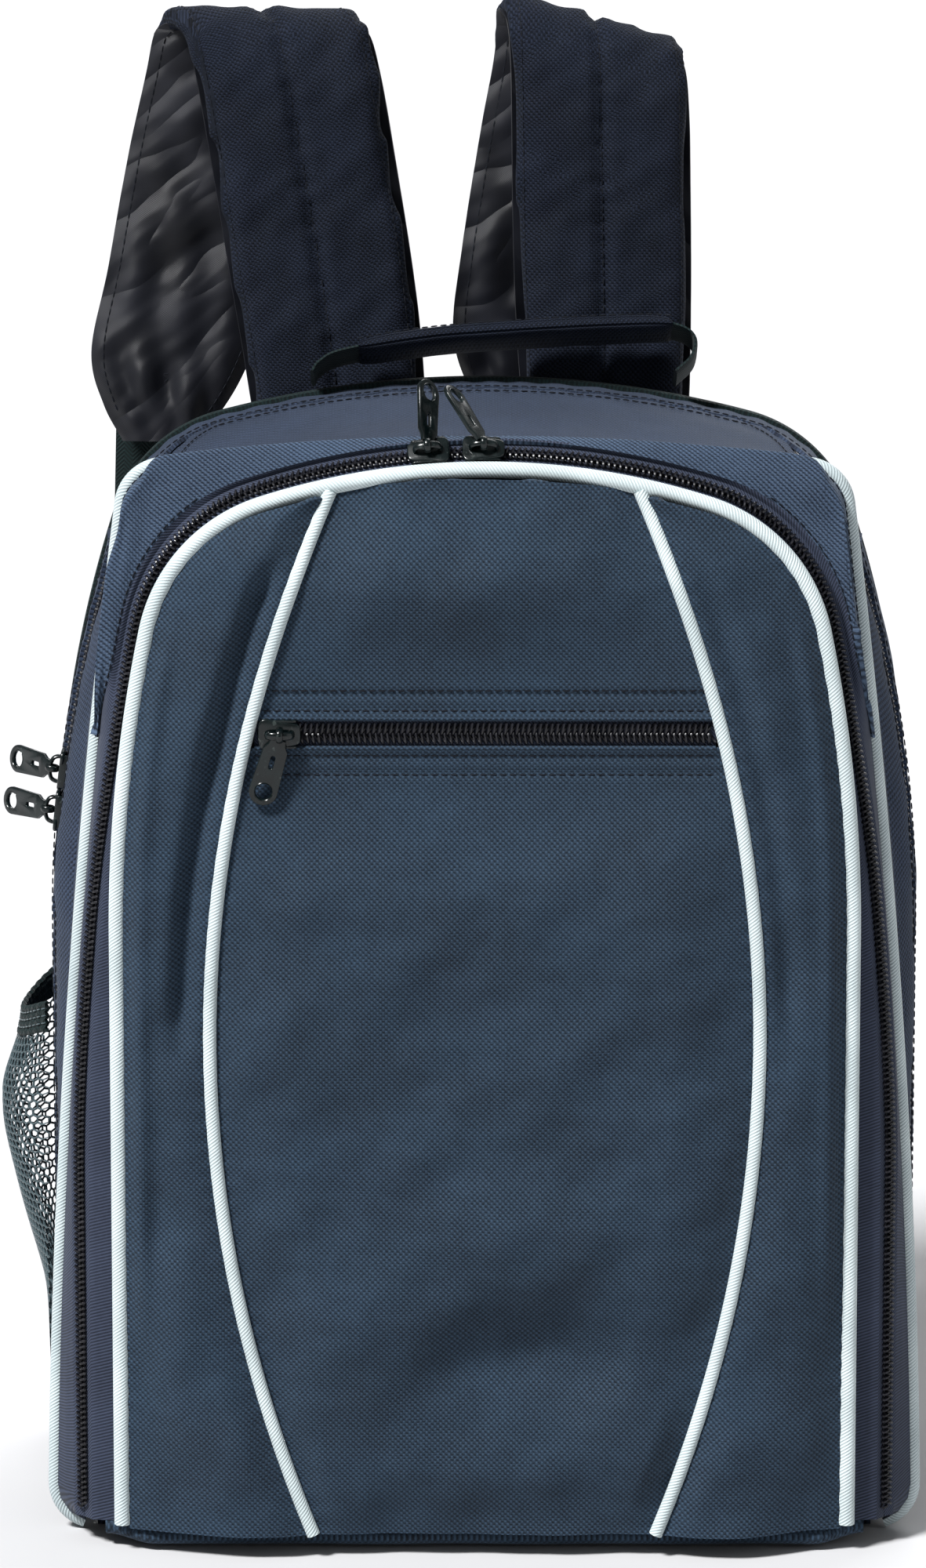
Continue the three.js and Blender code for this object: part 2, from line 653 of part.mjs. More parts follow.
// The two sliders of the U zip, of the main zip and the one of the pocket zip. The puller's
// swing, twist and lean are in degrees.
const U_SETS = [
  {
    sliderName: 'u_zip_slider_left', pullerName: 'u_zip_puller_left',
    heading: 4.4, direction: -1, swing: -82, twist: 50, lean: 4,
  },
  {
    sliderName: 'u_zip_slider_right', pullerName: 'u_zip_puller_right',
    heading: 0.1, direction: 1, swing: 82, twist: 50, lean: 28,
  },
];
const MAIN_SETS = [
  {
    sliderName: 'main_zip_slider_upper', pullerName: 'main_zip_puller_upper',
    heading: 82.4, direction: -1, swing: -52, twist: 0, lean: -4,
  },
  {
    sliderName: 'main_zip_slider_lower', pullerName: 'main_zip_puller_lower',
    heading: 84.3, direction: 1, swing: 50, twist: 0, lean: 4,
  },
];
const POCKET_SLIDER_X = -68;

function zipPulls() {
  for (const set of U_SETS) {
    const { place, normal, travel } = arcPlace(ARCH_OUTLINE, 0, set.heading, CHAIN_NEAR, CHAIN_Y);
    const facing = new THREE.Vector3(0, -CHAIN_TILT, 0).addScaledVector(normal, CHAIN_TILT);
    zipPull({ ...set, place, travel: travel.multiplyScalar(set.direction), facing });
  }
  const sink = -shortfall(ZIP_SIDE_Y) - CHAIN_SINK;
  for (const set of MAIN_SETS) {
    const { place, normal, travel } = arcPlace(DOME_OUTLINE, 2, set.heading, sink, ZIP_SIDE_Y);
    zipPull({ ...set, place, travel: travel.multiplyScalar(set.direction), facing: normal });
  }
  zipPull({
    sliderName: 'pocket_zip_slider',
    pullerName: 'pocket_zip_puller',
    place: new THREE.Vector3(POCKET_SLIDER_X, FRONT_FACE_Y + CLOTH - TOOTH_HEIGHT, POCKET_ZIP_Z),
    travel: new THREE.Vector3(-1, 0, 0),
    facing: new THREE.Vector3(0, -1, 0),
    swing: -97,
    twist: 0,
    lean: 16,
  });
}

// ---- Side pocket ----------------------------------------------------------------------------
const POCKET_TOP_Z = 171;
const POCKET_BOTTOM_Z = 20;
const POCKET_NEAR_Y = 14;
const POCKET_FAR_Y = 73;
const POCKET_WALL_X = -150;
const FULLEST_Z = 138;
const HEM_HEIGHT = 9;
const NET_COLUMNS = 8;

// How far the net stands off the gusset: most in the middle of its width and above half height.
function netBulge(across, z) {
  const upright = Math.sin(Math.PI * across) ** 0.8;
  const above = 1 - 0.42 * smooth(z, FULLEST_Z, POCKET_TOP_Z);
  const level = z > FULLEST_Z ? above : smooth(z, 70, FULLEST_Z);
  return 1.2 + 17.5 * upright * level;
}

// A part of the pocket's wall, standing proud of the net's inner face.
function pocketWall({ lowZ, highZ, rows, proud, thickness }) {
  const line = (z, extra) => [...Array(NET_COLUMNS + 1).keys()].map((column) => {
    const across = column / NET_COLUMNS;
    const x = POCKET_WALL_X - netBulge(across, z) - proud - extra;
    return new THREE.Vector3(x, mix(POCKET_NEAR_Y, POCKET_FAR_Y, across), z);
  });
  const heights = [...Array(rows + 1).keys()].map((row) => mix(lowZ, highZ, row / rows));
  return shellGeometry(heights.map((z) => line(z, thickness)), heights.map((z) => line(z, 0)));
}

function sidePocket() {
  const hemLowZ = POCKET_TOP_Z - HEM_HEIGHT;
  const net = pocketWall({
    lowZ: POCKET_BOTTOM_Z, highZ: hemLowZ - GAP, rows: 8, proud: 0, thickness: 1,
  });
  const hem = pocketWall({ lowZ: hemLowZ, highZ: POCKET_TOP_Z, rows: 1, proud: -0.4, thickness: 2 });
  addMesh('mesh_pocket', net, meshMaterial);
  addMesh('pocket_hem', hem, webbingMaterial);
}

// ---- Carry handle ---------------------------------------------------------------------------
// A strap along a row of middle points, each with a half width direction and a thickness
// direction.
function strapGeometry(stations) {
  const line = (side, face) => stations.map((s) => s.middle.clone()
    .addScaledVector(s.across, side * s.halfWidth)
    .addScaledVector(s.normal, face * s.halfThickness));
  return shellGeometry([line(-1, 1), line(1, 1)], [line(-1, -1), line(1, -1)]);
}

// The handle's middle line as x and z; it leans back and its webbing lies across that lean.
const HANDLE_LINE = [
  [-60, 381.5], [-57.5, 385], [-49, 389], [-20, 394], [12, 396.5],
  [44, 398.2], [64, 398.2], [73, 394.5], [73, 387.5], [67, 381.5],
];
const HANDLE_BASE_Y = 74;
const HANDLE_LEAN = 26;
const HANDLE_STEPS = 32;
const WEBBING_CORE = { halfWidth: 8.5, halfThickness: 0.8 };
const GRIP = { halfWidth: 9.5, halfThickness: 2.8, start: 4, end: 27 };

function handleStations(path, from, to, { halfWidth, halfThickness }) {
  const lean = radians(HANDLE_LEAN);
  const across = new THREE.Vector3(0, Math.cos(lean), -Math.sin(lean));
  return [...Array(to - from + 1).keys()].map((i) => {
    const t = (from + i) / HANDLE_STEPS;
    const normal = new THREE.Vector3().crossVectors(path.getTangentAt(t), across).normalize();
    return { middle: path.getPointAt(t), across, normal, halfWidth, halfThickness };
  });
}

function handle() {
  const lowest = HANDLE_LINE[0][1];
  const points = HANDLE_LINE.map(([x, z]) => {
    return new THREE.Vector3(x, HANDLE_BASE_Y + (z - lowest) * 0.12, z);
  });
  const path = new THREE.CatmullRomCurve3(points, false, 'centripetal');
  const hollow = {
    halfWidth: WEBBING_CORE.halfWidth + GAP,
    halfThickness: WEBBING_CORE.halfThickness + GAP,
  };
  const core = handleStations(path, 0, HANDLE_STEPS, WEBBING_CORE);
  const grip = handleStations(path, GRIP.start, GRIP.end, GRIP);
  const cavity = handleStations(path, GRIP.start - 1, GRIP.end + 1, hollow);
  const gripSolid = toManifold(strapGeometry(grip)).subtract(toManifold(strapGeometry(cavity)));
  addMesh('handle_webbing', strapGeometry(core), webbingMaterial);
  addMesh('handle_grip', fromManifold(gripSolid), clothMaterial);
}

// ---- Shoulder straps ------------------------------------------------------------------------
const PAD_THICKNESS = 8;

// Middle line of each strap pad, up from the back panel, over a fold and down behind. Each row
// is x, y, z and half the width. The fold may be tilted sideways, in degrees.
const STRAPS = [
  {
    padName: 'strap_pad_left',
    liningName: 'strap_lining_left',
    tilt: 0.5,
    rows: [
      [-50, 93.5, 352, 31], [-53, 94.5, 384, 33], [-58, 97, 420, 34], [-64, 99, 457, 34],
      [-69, 100, 486, 34], [-73, 103.5, 502, 34], [-78, 112, 507.5, 34], [-83, 120.5, 502, 34],
      [-87, 124, 486, 33.5], [-95, 125.5, 452, 33], [-103, 125.5, 415, 32], [-111, 125, 385, 30],
      [-114, 124.7, 366, 23], [-116, 124.5, 353, 14],
    ],
  },
  {
    padName: 'strap_pad_right',
    liningName: 'strap_lining_right',
    tilt: 15,
    rows: [
      [43, 93.5, 352, 31], [42.5, 94.5, 384, 33], [42, 97, 420, 34], [41.5, 99, 456, 34],
      [41, 100, 483, 34], [40, 103.5, 499, 34], [38.5, 112, 504.5, 34], [37, 120.5, 499, 34],
      [35, 124, 483, 33.5], [29, 125.5, 452, 33], [22, 125.5, 415, 32], [17, 125, 385, 30],
      [16, 124.7, 366, 23], [16, 124.5, 353, 14],
    ],
  },
];

function strapStations(rows, tilt) {
  const middles = rows.map(([x, y, z]) => new THREE.Vector3(x, y, z));
  const across = new THREE.Vector3(Math.cos(radians(tilt)), 0, -Math.sin(radians(tilt)));
  return rows.map((row, index) => {
    const tangent = middles[Math.min(index + 1, rows.length - 1)].clone();
    tangent.sub(middles[Math.max(index - 1, 0)]).normalize();
    const normal = new THREE.Vector3().crossVectors(tangent, across).normalize();
    return { middle: middles[index], across, normal, halfWidth: row[3], halfThickness: PAD_THICKNESS / 2 };
  });
}

// The shiny lining lies on the inside of the fold, a little narrower than the pad.
function strapLining(stations) {
  const rise = PAD_THICKNESS / 2 + GAP + LINING_THICKNESS / 2;
  return strapGeometry(stations.map((s) => ({
    ...s,
    middle: s.middle.clone().addScaledVector(s.normal, rise),
    halfWidth: s.halfWidth - 1,
    halfThickness: LINING_THICKNESS / 2,
  })));
}

function shoulderStraps() {
  for (const { padName, liningName, tilt, rows } of STRAPS) {
    const stations = strapStations(rows, tilt);
    addMesh(padName, strapGeometry(stations), clothMaterial);
    addMesh(liningName, strapLining(stations), liningMaterial);
  }
  const yokeY = BACK_Y + GAP;
  addMesh('strap_yoke', box([-88, yokeY, 306], [88, yokeY + CLOTH, 340]), clothMaterial);
}

// ---- Strap webbing --------------------------------------------------------------------------
const WEBBING_HALF = 12.5;
const WEBBING_THICKNESS = 1.5;
const LOCK = {
  halfWidth: 17, halfDepth: 2.5, halfHeight: 14, slotHalf: 13.3, slotHeight: 4.2, slotStep: 8.6,
};

const STRAP_ENDS = [
  {
    lockName: 'ladder_lock_left',
    upperName: 'upper_webbing_left',
    lowerName: 'lower_webbing_left',
    anchorName: 'webbing_anchor_left',
    tip: [-119, 131, 372],
    lock: [-121.5, 124, 262],
    anchor: [-124, 92.5, 34],
  },
  {
    lockName: 'ladder_lock_right',
    upperName: 'upper_webbing_right',
    lowerName: 'lower_webbing_right',
    anchorName: 'webbing_anchor_right',
    tip: [18, 131, 372],
    lock: [51, 124, 262],
    anchor: [124, 92.5, 34],
  },
];

// A flat webbing between two points that faces the back.
function webbing(from, to) {
  const tangent = to.clone().sub(from).normalize();
  const across = new THREE.Vector3().crossVectors(tangent, new THREE.Vector3(0, 1, 0)).normalize();
  const normal = new THREE.Vector3().crossVectors(across, tangent).normalize();
  const size = { halfWidth: WEBBING_HALF, halfThickness: WEBBING_THICKNESS / 2 };
  return strapGeometry([from, to].map((middle) => ({ middle, across, normal, ...size })));
}

function ladderLock(centre, tilt) {
  const { halfWidth, halfDepth, halfHeight, slotHalf, slotHeight, slotStep } = LOCK;
  const frame = toManifold(box([-halfWidth, -halfDepth, -halfHeight], [halfWidth, halfDepth, halfHeight]));
  const slots = [-slotStep, 0, slotStep].map((z) => {
    const low = [-slotHalf, -2 * halfDepth, z - slotHeight / 2];
    const high = [slotHalf, 2 * halfDepth, z + slotHeight / 2];
    return toManifold(box(low, high));
  });
  const geometry = fromManifold(slots.reduce((solid, slot) => solid.subtract(slot), frame));
  geometry.rotateY(tilt);
  return geometry.translate(...centre);
}

function strapWebbing() {
  const lockReach = LOCK.halfHeight + 2;
  for (const end of STRAP_ENDS) {
    const lock = new THREE.Vector3(...end.lock);
    const anchor = new THREE.Vector3(...end.anchor);
    const direction = anchor.clone().sub(lock).normalize();
    const tilt = -Math.atan2(direction.x, -direction.z);
    const upperEnd = lock.clone().addScaledVector(direction, -lockReach);
    const lowerStart = lock.clone().addScaledVector(direction, lockReach);
    const lowerEnd = anchor.clone().addScaledVector(direction, -1.5);
    const tab = box([-17, -2, -22], [17, 2, 0]);
    tab.translate(end.anchor[0], BACK_Y + GAP + 2.2, end.anchor[2]);
    addMesh(end.lockName, ladderLock(end.lock, tilt), plasticMaterial);
    addMesh(end.upperName, webbing(new THREE.Vector3(...end.tip), upperEnd), webbingMaterial);
    addMesh(end.lowerName, webbing(lowerStart, lowerEnd), webbingMaterial);
    addMesh(end.anchorName, tab, clothMaterial);
  }
}

// ---- The backpack ---------------------------------------------------------------------------
mainCompartment();
backPanel();
base();
frontSection();
flapPanels();
flapPipings();
pocketZip();
flapLining();
zipPulls();
sidePocket();
handle();
shoulderStraps();
strapWebbing();

export default bag;
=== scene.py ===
"""A school backpack's looks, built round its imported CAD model. Lengths are in millimetres
until a mesh is made, and the front faces -Y."""
import math

import bmesh
import bpy
import numpy as np
from mathutils import Matrix, Vector
from mathutils.bvhtree import BVHTree


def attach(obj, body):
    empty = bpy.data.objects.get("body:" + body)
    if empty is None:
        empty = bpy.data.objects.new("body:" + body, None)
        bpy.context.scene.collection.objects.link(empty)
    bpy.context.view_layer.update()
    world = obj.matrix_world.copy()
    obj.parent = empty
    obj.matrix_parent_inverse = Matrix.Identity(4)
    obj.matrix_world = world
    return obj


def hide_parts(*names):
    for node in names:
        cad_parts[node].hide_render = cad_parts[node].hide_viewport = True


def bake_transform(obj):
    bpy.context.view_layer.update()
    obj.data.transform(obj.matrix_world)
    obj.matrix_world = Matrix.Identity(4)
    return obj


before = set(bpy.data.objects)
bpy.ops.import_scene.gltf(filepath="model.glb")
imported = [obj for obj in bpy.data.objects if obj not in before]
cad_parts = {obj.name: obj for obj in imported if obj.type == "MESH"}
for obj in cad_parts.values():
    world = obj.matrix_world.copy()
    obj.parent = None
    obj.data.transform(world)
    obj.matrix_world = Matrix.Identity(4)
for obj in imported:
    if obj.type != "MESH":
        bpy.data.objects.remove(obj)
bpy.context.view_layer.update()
MM = 0.001

# ---- Driving dimensions, the same as the CAD model's ----
CLOTH = 1.4                 # how thick the body cloth is
LINING_CLOTH = 0.9
TAPE_CLOTH = 0.7            # the zip tapes
FRONT_FACE_Y = -82.0
ARCH_Y = -74.0
SEAM_Y = -48.0
DOME_Y = -24.0              # where the body's shape turns to the dome's outline
FULL_DOME_Y = 26.0
SIDE_ZIP_Y = -7.0           # the main zip's middle, at the sides and over the top
TOP_ZIP_Y = 42.0
BACK_Y = 87.0
PIPING_RADIUS = 2.8
INNER_PIPING_RADIUS = 2.3
POCKET_ZIP_Z = 284.0
BARREL_MIDDLE_Z = 178.0
BARREL_HALF = 92.0
BARREL_CURVE = 0.00118
FLAP_BOTTOM_Z = 8.0
MEETING_Z = 362.0
TAPE_EDGE = 17.0            # from the main zip's middle to the cloth beside it, at the sides
TOP_TAPE_EDGE = 3.4         # and over the top
COIL_PITCH = 1.9
CORNER_LOW_Z = 254.0
CORNER_TIP = 12.0           # how much of the corner cloth's sharp tip is cut off

# An outline runs from its top centre to the left and down, in five steps. A step is an arc with
# a radius and a turn in degrees, or a straight line with a length and no turn.
FRONT_OUTLINE = (374.0, ((1000, 6.2), (14, 76.3), (3100, 2.9), (3100, 3.4), (13, 75)))
DOME_OUTLINE = (380.0, ((360, 15), (51.7, 57), (430, 18), (183, 0), (13, 75)))
ARCH_OUTLINE = (371.0, ((240, 18), (56.6, 60), (500, 12), (198, 0), (6, 0)))
STEPS = 5


# ---- Small helpers ----
def mix(a, b, t):
    return a + (b - a) * t


def smooth(value, low, high):
    t = np.clip((value - low) / (high - low), 0, 1)
    return t * t * (3 - 2 * t)


def bell(value, middle, width):
    """A round hump: 1 at the middle and a third of that at a width from it."""
    return np.exp(-((value - middle) / width) ** 2)


def unit(vectors):
    return vectors / np.maximum(np.linalg.norm(vectors, axis=-1, keepdims=True), 1e-9)


def stack(*numbers):
    """Points, or places on a flat cloth, from arrays of their numbers."""
    return np.stack(np.broadcast_arrays(*numbers), axis=-1).astype(float)


def lengths_along(line):
    """How far each point of a line is from its start, along the line."""
    return np.concatenate([[0], np.cumsum(np.linalg.norm(np.diff(line, axis=0), axis=1))])


def ripples(u, v, size, seed, waves=7):
    """A smooth uneven height from -1 to 1 over places u and v, with humps about size apart."""
    rng = np.random.default_rng(seed)
    total = 0.0
    for _ in range(waves):
        angle = rng.uniform(0, math.pi)
        length = size * rng.uniform(0.75, 1.9)
        phase = rng.uniform(0, 2 * math.pi)
        total = total + np.sin((u * math.cos(angle) + v * math.sin(angle)) * 2 * math.pi / length + phase)
    return total / waves * 1.6


# ---- Outlines and the body's skin ----
def outline_place(outline, s):
    """Place, outward normal and heading on an outline. s runs from -5 at the left bottom end over
    0 at the top to 5 at the right bottom end."""
    top, steps = outline
    s = np.asarray(s, float)
    side = np.where(s > 0, 1.0, -1.0)
    along = np.minimum(np.abs(s), STEPS)
    x = np.zeros_like(along)
    z = np.full_like(along, top)
    heading = np.zeros_like(along)
    for index, (size, turn) in enumerate(steps):
        share = np.clip(along - index, 0, 1)
        start = np.radians(heading)
        heading = heading + turn * share
        end = np.radians(heading)
        if turn:
            x = x - size * (np.sin(end) - np.sin(start))
            z = z - size * (np.cos(start) - np.cos(end))
        else:
            x = x - size * share * np.cos(start)
            z = z - size * share * np.sin(start)
    angle = np.radians(heading)
    return {"x": -x * side, "z": z, "nx": np.sin(angle) * side, "nz": np.cos(angle), "heading": heading}


def offset_point(place, offset, y):
    return stack(place["x"] + place["nx"] * offset, y, place["z"] + place["nz"] * offset)


def shortfall(y):
    """How far the skin lies inside the domed outline, which it reaches some way back."""
    return 3.5 * (1 - smooth(y, DOME_Y, FULL_DOME_Y))


def skin_point(s, y, inward=0.0):
    """The body's skin: from the front outline at the seam to the domed outline behind it."""
    dome = offset_point(outline_place(DOME_OUTLINE, s), -shortfall(y) - inward, y)
    front = offset_point(outline_place(FRONT_OUTLINE, s), -np.asarray(inward, float), y)
    return mix(front, dome, smooth(y, SEAM_Y, DOME_Y)[..., None])


def length_table(point_line, s):
    """Lengths along a line of points, counted from where s is 0."""
    lengths = lengths_along(point_line)
    return lengths - np.interp(0, s, lengths)


FINE_S = np.linspace(-STEPS, STEPS, 4001)
DOME_LENGTHS = length_table(offset_point(outline_place(DOME_OUTLINE, FINE_S), 0, 0), FINE_S)
ARCH_LENGTHS = length_table(offset_point(outline_place(ARCH_OUTLINE, FINE_S), 0, 0), FINE_S)
DOME_END = DOME_LENGTHS[-1]


def dome_s(length):
    return np.interp(length, DOME_LENGTHS, FINE_S)


def arch_s(length):
    return np.interp(length, ARCH_LENGTHS, FINE_S)


def top_share(length):
    """1 on top of the body and 0 down its sides, by the dome's heading at a length along it."""
    return 1 - smooth(outline_place(DOME_OUTLINE, dome_s(length))["heading"], 12, 66)


def even_arch(count, low=-STEPS, high=STEPS):
    """Places on the arch that lie evenly along it."""
    ends = np.interp([low, high], FINE_S, ARCH_LENGTHS)
    return arch_s(np.linspace(ends[0], ends[1], count))


def skin_at(length, y, inward=0.0):
    """The skin at a length along the dome's outline and a depth."""
    return skin_point(dome_s(length), y, inward)


def zip_y(length):
    """Depth of the main zip's middle: near the front on the sides, further back over the top."""
    heading = outline_place(DOME_OUTLINE, dome_s(length))["heading"]
    return mix(TOP_ZIP_Y, SIDE_ZIP_Y, smooth(heading, 8, 70))


def tape_edge(length):
    """Distance from the zip's middle to the cloth, which nearly closes over the zip on top."""
    return mix(TAPE_EDGE, TOP_TAPE_EDGE, top_share(length))


def zip_offset(length, distance):
    """The place beside the main zip, at a distance square to it, as a length and a depth."""
    slope = (zip_y(length + 1) - zip_y(length - 1)) / 2
    scale = np.sqrt(1 + slope ** 2)
    return length - slope / scale * distance, zip_y(length) + distance / scale


# ---- Meshes ----
SHARP_ANGLE = math.radians(50)
MERGE_DISTANCE = 0.001
BAG_MIDDLE = (0, 15, 190)
IN_FRONT_OF_BAG = (0, -300, 190)
BEHIND_BAG = (0, 300, 190)


def lay_uv(mesh, places):
    """Gives each point its place on the flat cloth, in millimetres."""
    layer = mesh.uv_layers.get("cloth") or mesh.uv_layers.new(name="cloth")
    corners = np.zeros(len(mesh.loops), int)
    mesh.loops.foreach_get("vertex_index", corners)
    layer.data.foreach_set("uv", np.asarray(places, float)[corners].ravel())


def link_object(name, data):
    thing = bpy.data.objects.new(name, data)
    bpy.context.scene.collection.objects.link(thing)
    return thing


def raw_mesh(name, points, faces, uv, material):
    mesh = bpy.data.meshes.new(name)
    mesh.from_pydata((np.asarray(points) * MM).tolist(), [], faces)
    lay_uv(mesh, uv)
    mesh.materials.append(material)
    return mesh


def shade(mesh):
    """Smooth shading that breaks at sharp edges."""
    mesh.shade_smooth()
    mesh.set_sharp_from_angle(angle=SHARP_ANGLE)
    mesh.update()


def four_sided(name, points, faces, uv, material):
    """An object whose faces all have four corners, with its points in millimetres."""
    mesh = raw_mesh(name, points, faces.tolist(), uv, material)
    mesh.validate()
    shade(mesh)
    return link_object(name, mesh)


def many_sided(name, points, faces, uv, material, merge=MERGE_DISTANCE):
    """An object whose faces have different numbers of corners, and whose seams are merged."""
    mesh = raw_mesh(name, points, faces, uv, material)
    tidy_mesh(mesh, merge)
    return link_object(name, mesh)


def tidy_mesh(mesh, merge=MERGE_DISTANCE):
    """Merges doubled points, turns all faces outwards and shades them smooth."""
    work = bmesh.new()
    work.from_mesh(mesh)
    bmesh.ops.remove_doubles(work, verts=work.verts, dist=merge * MM)
    bmesh.ops.recalc_face_normals(work, faces=work.faces)
    work.to_mesh(mesh)
    work.free()
    shade(mesh)


def grid_faces(rows, columns, start=0):
    row, column = np.meshgrid(np.arange(rows - 1), np.arange(columns - 1), indexing="ij")
    corner = (start + row * columns + column).ravel()
    return np.stack([corner, corner + 1, corner + columns + 1, corner + columns], axis=1)


def grid_normals(grid):
    along = np.gradient(grid, axis=1)
    across = np.gradient(grid, axis=0)
    return unit(np.cross(along, across))


def rim_faces(rows, columns):
    """The faces that join the edges of an outer grid to those of the inner grid after it."""
    index = np.arange(rows * columns).reshape(rows, columns)
    loop = np.concatenate([index[0, :-1], index[:-1, -1], index[-1, :0:-1], index[:0:-1, 0]])
    following = np.roll(loop, -1)
    inner = rows * columns
    return np.stack([following, loop, loop + inner, following + inner], axis=1)


def sheet_faces(rows, columns):
    """The faces of a closed sheet: its outer grid, the inner grid after it, and the rim."""
    inner = grid_faces(rows, columns, rows * columns)[:, ::-1]
    return np.concatenate([grid_faces(rows, columns), inner, rim_faces(rows, columns)])


def cloth_sheet(name, grid, uv, material, thickness=CLOTH, away=BAG_MIDDLE):
    """A closed sheet of cloth. grid holds its outer points, uv its places in millimetres on the
    flat cloth, and away is a point on its inner side."""
    rows, columns = grid.shape[:2]
    normals = grid_normals(grid)
    facing = np.sum(normals.reshape(-1, 3) * (grid.reshape(-1, 3) - np.asarray(away, float)))
    outward = normals if facing > 0 else -normals
    inner = grid - outward * thickness
    points = np.concatenate([grid.reshape(-1, 3), inner.reshape(-1, 3)])
    faces = sheet_faces(rows, columns)
    if facing < 0:
        faces = faces[:, ::-1]
    flat = uv.reshape(-1, 2)
    return four_sided(name, points, faces, np.concatenate([flat, flat]), material)


def tube_mesh(name, line, radius, material, sides=14, up=(0.0, -1.0, 0.0)):
    """A closed round tube along a line of points, with its length and girth as its uv."""
    line = np.asarray(line, float)
    tangent = unit(np.gradient(line, axis=0))
    side = unit(np.cross(tangent, np.broadcast_to(up, line.shape)))
    top = np.cross(side, tangent)
    angle = np.linspace(0, 2 * math.pi, sides + 1)
    ring = np.cos(angle)[:, None] * side[:, None, :] + np.sin(angle)[:, None] * top[:, None, :]
    uv = stack(lengths_along(line)[:, None], angle * radius)
    return round_piece(name, line[:, None, :] + ring * radius, uv, material)


def round_piece(name, points, uv, material):
    """A tube from rings of points whose last point lies on the first, with both ends closed."""
    rows, columns = points.shape[:2]
    count = rows * columns
    ends = np.stack([points[0, :-1].mean(axis=0), points[-1, :-1].mean(axis=0)])
    all_points = np.concatenate([points.reshape(-1, 3), ends])
    all_uv = np.concatenate([uv.reshape(-1, 2), uv[0, :1], uv[-1, :1]])
    faces = grid_faces(rows, columns).tolist()
    last = count - columns
    for column in range(columns - 1):
        faces.append([column + 1, column, count])
        faces.append([last + column, last + column + 1, count + 1])
    return many_sided(name, all_points, faces, all_uv, material)


def label(thing, slot, *replaced):
    """Hides the CAD nodes that a piece stands for. Its slot is not used."""
    if replaced:
        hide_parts(*replaced)
    return thing


def finish_piece(thing, body, slot, *replaced):
    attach(thing, body)
    return label(thing, slot, *replaced)


# ---- Shader nodes ----
def connect(tree, value, socket):
    if isinstance(value, bpy.types.NodeSocket):
        tree.links.new(value, socket)
    else:
        socket.default_value = value


def calc(tree, operation, *values):
    node = tree.nodes.new("ShaderNodeMath")
    node.operation = operation
    for value, socket in zip(values, node.inputs):
        connect(tree, value, socket)
    return node.outputs[0]


def blend_colours(tree, share, first, second):
    node = tree.nodes.new("ShaderNodeMix")
    node.data_type = "RGBA"
    connect(tree, share, node.inputs[0])
    connect(tree, first, node.inputs[6])
    connect(tree, second, node.inputs[7])
    return node.outputs[2]


def linear(red, green, blue):
    """A colour given as it looks on a screen, from 0 to 255, as the shader's own numbers."""
    def channel(value):
        share = value / 255
        return share / 12.92 if share <= 0.04045 else ((share + 0.055) / 1.055) ** 2.4
    return (channel(red), channel(green), channel(blue), 1.0)


def cloth_places(tree):
    """The uv places on the flat cloth, in millimetres: the vector and its two numbers."""
    node = tree.nodes.new("ShaderNodeUVMap")
    node.uv_map = "cloth"
    split = tree.nodes.new("ShaderNodeSeparateXYZ")
    tree.links.new(node.outputs[0], split.inputs[0])
    return node.outputs[0], split.outputs[0], split.outputs[1]


def object_places(tree):
    node = tree.nodes.new("ShaderNodeTexCoord")
    return node.outputs["Object"]


def noise(tree, places, scale, detail=3.0, lengths=None, turn=0.0):
    """Uneven values from 0 to 1; scale is one over the size of a patch. lengths draws the
    patches out along each axis, after the axes are turned."""
    if lengths:
        mapping = tree.nodes.new("ShaderNodeMapping")
        mapping.vector_type = "TEXTURE"
        mapping.inputs["Rotation"].default_value = (0, 0, turn)
        mapping.inputs["Scale"].default_value = lengths
        tree.links.new(places, mapping.inputs[0])
        places = mapping.outputs[0]
    node = tree.nodes.new("ShaderNodeTexNoise")
    node.inputs["Scale"].default_value = scale
    node.inputs["Detail"].default_value = detail
    tree.links.new(places, node.inputs["Vector"])
    return node.outputs["Fac"]


def remap(tree, value, low, high, new_low, new_high):
    node = tree.nodes.new("ShaderNodeMapRange")
    connect(tree, value, node.inputs[0])
    for index, number in enumerate((low, high, new_low, new_high)):
        node.inputs[index + 1].default_value = number
    return node.outputs[0]


def add_bump(tree, shader, height, distance, strength=1.0):
    """A bump whose height from 0 to 1 stands for distance millimetres."""
    node = tree.nodes.new("ShaderNodeBump")
    node.inputs["Strength"].default_value = strength
    node.inputs["Distance"].default_value = distance * MM
    tree.links.new(height, node.inputs["Height"])
    tree.links.new(node.outputs[0], shader.inputs["Normal"])


def new_material(name, roughness, **sockets):
    """A material, its node tree and its shader, with some of the shader's sockets set."""
    material = bpy.data.materials.new(name)
    material.use_nodes = True
    tree = material.node_tree
    shader = tree.nodes["Principled BSDF"]
    shader.inputs["Roughness"].default_value = roughness
    for socket, value in sockets.items():
        shader.inputs[socket.replace("_", " ")].default_value = value
    return material, tree, shader


def wave(tree, places, length):
    """Even ribs from 0 to 1 over places, each the given length wide."""
    phase = calc(tree, "MULTIPLY", places, 2 * math.pi / length)
    return calc(tree, "MULTIPLY_ADD", calc(tree, "SINE", phase), 0.5, 0.5)


def crossed(tree, u, v, length):
    """Waves along both yarns of a weave, multiplied: from -1 to 1."""
    across = calc(tree, "SINE", calc(tree, "MULTIPLY", u, 2 * math.pi / length))
    along = calc(tree, "SINE", calc(tree, "MULTIPLY", v, 2 * math.pi / length))
    return calc(tree, "MULTIPLY", across, along)


def vary(tree, tone, uneven, amount):
    """The tone, made lighter or darker by uneven values about 0.5."""
    return calc(tree, "MULTIPLY_ADD", calc(tree, "SUBTRACT", uneven, 0.5), amount, tone)


